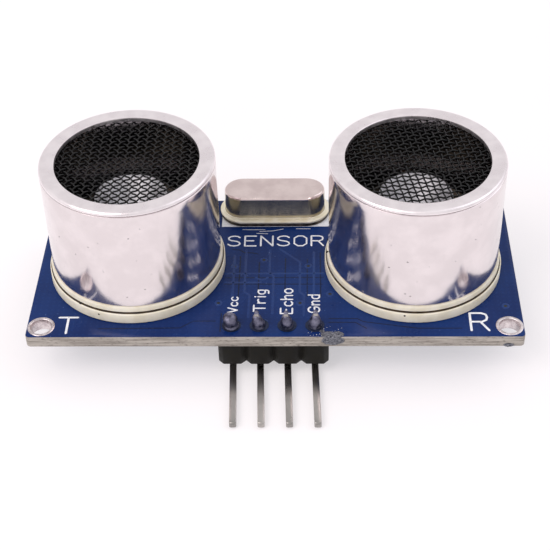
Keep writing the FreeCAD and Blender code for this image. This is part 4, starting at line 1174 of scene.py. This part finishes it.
@dataclass
class Transducer:
    """One open transducer: moulded base, drawn can, wire cloth, cone and the parts under it."""

    side: str
    weave_turn: float
    seed: float
    dirt: Sequence[Point]
    rim_opening: float = 6.55
    rim_under: float = 0.45
    rim_round: float = 0.32
    wall: float = 0.4
    speck: float = 0.12
    terminal_reach: float = 5.0
    groove: tuple[float, float] = (1.06, 1.17)
    upper_band: float = 8.16

    def build(self) -> None:
        """Build and dress the whole transducer."""
        self.centre = centre_of(self.side + "_can")
        self.base()
        self.can()
        self.cloth()
        self.cone()
        # The diaphragm is painted nearly black as painted shade inside the can.
        dress(Look.BRASS, self.side + "_diaphragm")
        dress(Look.PIEZO, self.side + "_piezo_disc")
        dress(Look.SILICONE, self.side + "_silicone_seat")
        dress(Look.LEAD, self.side + "_terminals")
        dress(Look.COPPER, self.side + "_lead_wires")

    def base(self) -> None:
        """Mould the base: two rounded bands with a groove between, a plug and the seat's step."""
        node = self.side + "_base"
        foot, step_top = heights_of(node)
        low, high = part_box(node)
        outer = (high.x - low.x) / 2 / MM
        band = heights_of(self.side + "_can")[0]
        groove_low, groove_high = foot + self.groove[0], foot + self.groove[1]
        plug = 7.58
        profile = [
            (0.0, foot), (outer - 0.05, foot), (outer, foot + 0.05), (outer, groove_low - 0.14),
            (outer - 0.03, groove_low - 0.05), (outer - 0.1, groove_low), (outer - 0.36, groove_low),
            (outer - 0.36, groove_high), (self.upper_band - 0.08, groove_high),
            (self.upper_band, groove_high + 0.07), (self.upper_band, band - 0.12),
            (self.upper_band - 0.035, band - 0.035), (self.upper_band - 0.12, band), (plug, band),
            (plug, band + 1.0), (plug - 0.05, band + 1.05), (4.5, band + 1.05), (4.45, band + 1.1),
            (4.45, step_top - 0.05), (4.4, step_top), (3.55, step_top), (3.5, step_top - 0.05),
            (3.5, step_top - 0.7), (0.0, step_top - 0.7),
        ]
        piece = turned(self.centre, profile, 128, 40.0)
        x, y = self.centre
        drill(piece, [(x, y - self.terminal_reach, 0.41), (x, y + self.terminal_reach, 0.41)], 24, 8.0, 3.0)
        tidy(piece, 40.0)
        grains = [
            grain((x + radius * math.cos(math.radians(angle)), y + radius * math.sin(math.radians(angle)),
                   foot + rise),
                  self.speck, 2, angle=40.0)
            for angle, radius, rise in self.dirt
        ]
        finished(joined(grains), self.side + "_dirt_specks", Look.NYLON, "base_plastic")

        def zone(face: bpy.types.MeshPolygon) -> int:
            """Tell the outside from the groove painted dark as painted shade, and from the potted inside.
            """
            level = face.center.z / MM
            radius = (face.center.xy / MM - Vector(self.centre)).length
            if level > band - 0.01 and radius < plug:
                return 2
            return int(groove_low - 0.01 < level < groove_high + 0.01 and radius < outer - 0.06)

        # The groove between the two bands is painted dark brown as painted shade.
        paint(piece, (Look.IVORY, Look.GRIME, Look.POTTING), zone)
        finished(piece, self.side + "_moulded_base", None, "base_plastic", [node])

    def can(self) -> None:
        """Draw the can: wall, turned-in rim, rounded shoulder with a crease below it, and slight dents."""
        node = self.side + "_can"
        foot, top = heights_of(node)
        low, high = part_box(node)
        outer = (high.x - low.x) / 2 / MM
        inner = outer - self.wall
        shoulder = top - self.rim_round
        wall_steps = [(outer, foot + 0.07 + (shoulder - 0.3 - foot) * i / 14) for i in range(15)]
        profile = [
            (inner, foot), (outer - 0.06, foot), *wall_steps,
            (outer - 0.02, shoulder - 0.15), (outer - 0.09, shoulder - 0.11),
            (outer - 0.09, shoulder - 0.05),
            (outer - 0.02, shoulder - 0.01),
            *arc((outer - self.rim_round, shoulder), self.rim_round, 4, 90, 9),
            (self.rim_opening + 0.4, top - 0.012), (self.rim_opening + 0.12, top - 0.02),
            (self.rim_opening + 0.03, top - 0.06), (self.rim_opening, top - 0.14),
            (self.rim_opening, top - self.rim_under), (inner, top - self.rim_under), (inner, foot),
        ]
        piece = turned(self.centre, profile, 144, 40.0)
        dents = bpy.data.textures.new(node + "_dents", "CLOUDS")
        dents.noise_scale = 3.4 * MM
        dents.noise_depth = 1
        group = piece.vertex_groups.new(name="wall")
        low_dent, high_dent = (foot + 0.3) * MM, (shoulder - 0.5) * MM
        group.add([v.index for v in piece.data.vertices if low_dent < v.co.z < high_dent], 1.0, "REPLACE")
        piece.data.transform(Matrix.Translation((0.0, 0.0, self.seed * MM)))
        apply_modifier(piece, "DISPLACE", texture=dents, texture_coords="LOCAL", strength=0.05 * MM,
                       mid_level=0.55, vertex_group="wall")
        piece.data.transform(Matrix.Translation((0.0, 0.0, -self.seed * MM)))
        piece.vertex_groups.clear()
        tidy(piece, 40.0)
        # Faces between these levels form the crease, painted dark brown as painted shade.
        creased = ((shoulder - 0.125) * MM, (shoulder - 0.03) * MM)
        # Faces above the crease, the roundover and the rim, are painted brighter than the wall as a painted
        # highlight.
        paint(piece, (Look.CAN, Look.GRIME, Look.RIM),
              lambda face: sum(face.center.z > level for level in creased))
        finished(piece, self.side + "_drawn_can", None, "can_aluminium", [node])

    def cloth(self) -> None:
        """Weave the wire cloth under the rim."""
        node = self.side + "_mesh"
        low, high = heights_of(node)
        cloth = WovenDisc(self.centre, (low + high) / 2, self.weave_turn).build()
        finished(cloth, self.side + "_wire_cloth", Look.MESH, "black_mesh", [node])

    def cone(self) -> None:
        """Press the thin resonator cone, with its glued foot and a curled lip."""
        node = self.side + "_resonator_cone"
        foot, mouth = heights_of(node)
        low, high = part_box(node)
        lip = (high.x - low.x) / 2 / MM
        profile = [
            (0.0, foot), (1.1, foot), (1.2, foot + 0.06), (1.3, foot + 0.3), (0.52 * lip, foot + 0.8),
            (0.7 * lip, foot + 1.35), (0.86 * lip, foot + 1.85), (lip - 0.2, mouth - 0.12),
            (lip - 0.04, mouth - 0.08), (lip, mouth - 0.03), (lip - 0.03, mouth),
            (lip - 0.16, mouth - 0.01),
            (0.84 * lip, foot + 1.96), (0.67 * lip, foot + 1.46), (0.48 * lip, foot + 0.93),
            (1.15, foot + 0.46), (0.95, foot + 0.26), (0.0, foot + 0.22),
        ]
        finished(turned(self.centre, profile, 80, 50.0), self.side + "_pressed_cone", Look.CONE,
                 "cone_aluminium", [node])


# ---------------------------------------------------------------- crystal


@dataclass
class Crystal:
    """The low metal crystal: drawn can with a welded brim on a steel base, standing in solder."""

    brim_round: float = 0.06
    edge_round: float = 0.3
    brim: float = 0.2
    brim_width: float = 0.5
    inset_width: float = 3.8
    body_width: float = 3.45

    def stadium(self, node: str, shrink: float) -> tuple[bpy.types.Object, float]:
        """Lay a flat stadium at a node's foot, as large as its outline less shrink; give it and its top."""
        low, high = (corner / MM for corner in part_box(node))
        radius = (high.y - low.y) / 2 - shrink
        run = (high.x - low.x) / 2 - shrink - radius
        centre = (low + high) / 2
        leave_edit_mode()
        bpy.ops.mesh.primitive_circle_add(
            vertices=72, radius=radius * MM, fill_type="NGON",
            location=(centre.x * MM, centre.y * MM, low.z * MM)
        )
        piece = bpy.context.object
        bpy.ops.object.transform_apply(location=True, rotation=True, scale=True)
        with edit_mode(piece):
            for way in (1, -1):
                pick(piece, "VERT", lambda v: way * (v.co.x - centre.x * MM) > -0.001 * MM * way)
                bpy.ops.transform.translate(value=(way * run * MM, 0.0, 0.0))
        return piece, high.z

    def rise(self, piece: bpy.types.Object, height: float, inset: float = 0.0,
             squeeze: float = 1.0) -> None:
        """Inset the top face, squeeze it along Y and pull it up; lengths in millimetres."""
        top = max(v.co.z for v in piece.data.vertices)
        middle_y = (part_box("crystal_can")[0].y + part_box("crystal_can")[1].y) / 2
        with edit_mode(piece):
            pick(piece, "FACE",
                 lambda f: abs(f.calc_center_median().z - top) < 0.001 * MM and abs(f.normal.z) > 0.9
                 and len(f.verts) > 8)
            if inset:
                bpy.ops.mesh.inset(thickness=inset * MM, depth=0.0)
                bpy.ops.transform.resize(value=(1.0, squeeze, 1.0), center_override=(0.0, middle_y, top))
            bpy.ops.mesh.extrude_region_move(TRANSFORM_OT_translate={"value": (0.0, 0.0, height * MM)})

    def round_ring(self, piece: bpy.types.Object, level: float, radius: float, segments: int,
                   inner: bool) -> None:
        """Round the ring of edges at a level; inner takes the ring of the can's wall, not the brim's."""
        low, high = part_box("crystal_can")
        half = (high.y - low.y) / 2 - self.brim_width / 2 * MM
        middle_y = (high.y + low.y) / 2
        with edit_mode(piece):
            x_run = (high.x - low.x) / 2 - (high.y - low.y) / 2

            def on_ring(edge: bmesh.types.BMEdge) -> bool:
                """Say whether an edge lies flat at the level with both ends on the wanted ring."""
                flat = all(abs(v.co.z - level * MM) < 0.002 * MM for v in edge.verts)
                reaches = [
                    math.hypot(max(abs(v.co.x - (low.x + high.x) / 2) - x_run, 0.0), v.co.y - middle_y)
                    for v in edge.verts
                ]
                return flat and all((reach < half) == inner for reach in reaches)

            pick(piece, "EDGE", on_ring)
            bpy.ops.mesh.bevel(offset=radius * MM, segments=segments, affect="EDGES")

    def build(self) -> None:
        """Build the base and the can, and dress the parts inside and below."""
        base, top = self.stadium("crystal_base", 0.06)
        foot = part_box("crystal_base")[0].z / MM
        self.rise(base, top - foot)
        apply_modifier(base, "BEVEL", width=0.09 * MM, segments=3, limit_method="ANGLE",
                       angle_limit=math.radians(50))
        # The base plate is painted dark as painted shade under the brim.
        finished(tidy(base, 40.0), "crystal_welded_base", Look.BASE_STEEL, "crystal_steel",
                 ["crystal_base"])
        can, top = self.stadium("crystal_can", 0.0)
        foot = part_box("crystal_can")[0].z / MM
        self.rise(can, self.brim)
        self.rise(can, top - foot - self.brim, self.brim_width, self.body_width / self.inset_width)
        self.round_ring(can, top, self.edge_round, 6, True)
        self.round_ring(can, foot + self.brim, 0.1, 3, True)
        self.round_ring(can, foot + self.brim, self.brim_round, 2, False)
        self.round_ring(can, foot, self.brim_round, 2, False)
        tidy(can, 40.0)
        # The brim, below both levels, is painted pale cream as a painted highlight.
        edges = ((top - self.edge_round) * MM, (foot + self.brim + 0.01) * MM)
        # The wall is painted darker and yellower than the top as painted shade.
        looks = (Look.NICKEL, Look.NICKEL_WALL, Look.BRIM)
        paint(can, looks, lambda face: sum(face.center.z < level for level in edges))
        finished(can, "crystal_drawn_can", None, "crystal_steel", ["crystal_can"])
        dress(Look.GLASS, "crystal_glass_seals")
        dress(Look.LEAD, "crystal_leads", "crystal_clips")
        dress(Look.QUARTZ, "quartz_blank")
        dress(Look.SILVER, "blank_electrodes")
        dress(Look.SOLDER, "crystal_solder")


# ---------------------------------------------------------------- electronics on the back


@dataclass
class BackElectronics:
    """The surface-mounted parts on the back: three chips, a transistor, resistors and capacitors."""

    dimple: float = 0.35
    dimple_depth: float = 0.12

    def build(self) -> None:
        """Build the chips, the small parts and their solder."""
        for name in ("driver", "controller", "amplifier"):
            self.chip(name)
        for node, radius, name, look, slot in (
            ("transistor_body", 0.07, "transistor_moulding", Look.EPOXY, "moulding_compound"),
            ("transistor_leads", 0.03, "transistor_stamped_leads", Look.LEAD, "plated_wire"),
            ("resistor_bodies", 0.03, "chip_resistors", Look.RESISTOR, "resistor_ceramic"),
            ("resistor_ends", 0.05, "resistor_caps", Look.TINNED, "tinned_metal"),
            ("capacitor_bodies", 0.06, "chip_capacitors", Look.CAPACITOR, "capacitor_ceramic"),
            ("capacitor_ends", 0.09, "capacitor_caps", Look.TINNED, "tinned_metal"),
        ):
            finished(softened(node, radius), name, look, slot, [node])
        dress(Look.SILICON, "chip_dies")
        self.back_cones()
        self.fillets()

    def chip(self, name: str) -> None:
        """Mould one chip with soft edges and a dimple at its first lead, and round its leads."""
        node = name + "_chip_body"
        piece = softened(node, 0.08)
        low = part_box(node)[0] / MM
        leave_edit_mode()
        bpy.ops.mesh.primitive_uv_sphere_add(
            segments=32, ring_count=16, radius=self.dimple * MM,
            location=((low.x + 0.85) * MM, (low.y + 0.95) * MM,
                      (low.z - self.dimple + self.dimple_depth) * MM),
        )
        tool = bpy.context.object
        bpy.ops.object.transform_apply(location=True, rotation=True, scale=True)
        cut_away(piece, tool)
        tidy(piece, 35.0, recalculate=False)
        finished(piece, name + "_moulded_chip", Look.EPOXY, "moulding_compound", [node])
        node = name + "_chip_leads"
        finished(softened(node, 0.035), name + "_gull_wing_leads", Look.LEAD, "plated_wire", [node])

    def back_cones(self) -> None:
        """Raise the soft solder cones round the transducers' terminals on the back."""
        low = heights_of("transducer_solder")[0]
        base = -0.04
        rise = base - low
        profile = [(0.0, base), (1.02, base), (1.0, base - 0.05), (0.86, base - 0.12), (0.7, base - 0.3),
                   (0.58, base - 0.55), (0.5, base - 0.85), (0.46, base - rise * 0.85),
                   (0.38, base - rise * 0.95),
                   (0.2, base - rise * 0.995), (0.0, base - rise)]
        cones = []
        for seed, (x, y, _) in enumerate(Board.holes[4:8]):
            piece = turned((x, y), profile, 32, 60.0)
            with edit_mode(piece):
                pick(piece, "VERT", lambda v: (low + 0.05) * MM < v.co.z < (base - 0.03) * MM)
                bpy.ops.transform.vertex_random(offset=0.03 * MM, seed=seed + 20)
            cones.append(tidy(piece, 70.0))
        finished(joined(cones), "terminal_joints", Look.SOLDER, "solder", ["transducer_solder"])

    def fillets(self) -> None:
        """Dome the solder on every small land by insetting it three times."""
        piece = cleaned("surface_lands")
        with edit_mode(piece):
            pick(piece, "FACE", lambda f: f.normal.z < -0.9)
            for thickness, depth in ((0.03, 0.05), (0.04, 0.04), (0.06, 0.025)):
                bpy.ops.mesh.inset(thickness=thickness * MM, depth=depth * MM)
        finished(tidy(piece, 50.0, recalculate=False), "soldered_lands", Look.SOLDER, "tinned_metal",
                 ["surface_lands"])


# ---------------------------------------------------------------- studio


@dataclass
class Studio:
    """A pale floor, soft lamps and the camera."""

    floor_size: float = 2400.0
    floor_gap: float = 0.06
    floor_glow: float = 0.5
    world_light: float = 0.86
    lens: float = 87.5
    camera_at: Point = (3.807, -97.069, 84.847)
    right: Point = (0.99953, 0.02089, -0.02247)
    up: Point = (0.00315, 0.65877, 0.75234)
    forward: Point = (-0.03052, 0.75206, -0.65839)

    def build(self) -> None:
        """Set the floor, the world, the lamps and the camera."""
        self.floor()
        self.world()
        self.lamp("window", (-150.0, -130.0, 240.0), 170.0, 0.36, "#fff6f4")
        self.lamp("fill", (190.0, 60.0, 230.0), 200.0, 0.1, "#f2f4ff")
        self.camera()

    def floor(self) -> None:
        """Lay the pale floor just below the lowest part."""
        low = CAD_BOX[0][2] / MM - self.floor_gap
        leave_edit_mode()
        bpy.ops.mesh.primitive_plane_add(size=self.floor_size * MM, location=(0.0, 0.0, low * MM))
        piece = bpy.context.object
        piece.name = "floor"
        bpy.ops.object.transform_apply(location=True, rotation=True, scale=True)
        # Matt white acrylic of a light table: pale grey, glowing evenly so that shadows stay soft.
        card = Finish("matt_white_acrylic_light_table", "#b9b6b8", "#bebbbd", (0.8, 0.9), 60.0, 2.0, 0.0,
                      shine=(("Emission Color", linear("#fdfafb")), ("Emission Strength", self.floor_glow)))
        piece.data.materials.append(card.material())

    def world(self) -> None:
        """Light the room evenly with a pale grey world."""
        world = bpy.data.worlds.new("pale_room")
        world.use_nodes = True
        world.node_tree.nodes.clear()
        glow = add_node(
            world.node_tree, "ShaderNodeBackground", None,
            {"Color": linear("#fbf9fa"), "Strength": self.world_light}
        )
        add_node(world.node_tree, "ShaderNodeOutputWorld", None, {"Surface": glow.outputs[0]})
        bpy.context.scene.world = world
        bpy.context.scene.view_settings.view_transform = "Standard"

    def lamp(self, name: str, place: Point, size: float, power: float, colour: str) -> None:
        """Hang one square soft lamp that looks at the sensor; power is in watts."""
        light = bpy.data.lights.new(name, "AREA")
        light.shape = "SQUARE"
        light.size = size * MM
        light.energy = power
        light.color = linear(colour)[:3]
        lamp = bpy.data.objects.new(name, light)
        bpy.context.scene.collection.objects.link(lamp)
        aim = (Vector((0.0, 0.0, 4.0)) - Vector(place)).to_track_quat("-Z", "Y").to_matrix().to_4x4()
        lamp.matrix_world = Matrix.Translation(Vector(place) * MM) @ aim

    def camera(self) -> None:
        """Place the camera in front, a little to the right and looking down on the board."""
        view = bpy.data.cameras.new("camera")
        view.lens = self.lens
        view.sensor_width = 36.0
        view.clip_start = 1 * MM
        view.clip_end = 20.0
        camera = bpy.data.objects.new("camera", view)
        bpy.context.scene.collection.objects.link(camera)
        back = tuple(-c for c in self.forward)
        turn = Matrix((self.right, self.up, back)).transposed().to_4x4()
        camera.matrix_world = Matrix.Translation(Vector(self.camera_at) * MM) @ turn
        bpy.context.scene.camera = camera


def main() -> None:
    """Build every sub-assembly in order and report its pieces."""
    logging.basicConfig(level=logging.INFO, format="%(name)s %(message)s")
    for assembly in (
        Board(),
        PinHeader(),
        Transducer("sender", 45.0, 3.0, ((235.5, 8.2, 1.1), (250.0, 8.28, 0.7))),
        Transducer("receiver", 10.0, 11.0, ((169.5, 8.12, 1.72), (182.5, 8.12, 1.72), (262.0, 8.28, 0.8))),
        Crystal(), BackElectronics(), Studio(),
    ):
        LOG.info("building %s", type(assembly).__name__)
        assembly.build()


if __name__ == "__main__":
    main()
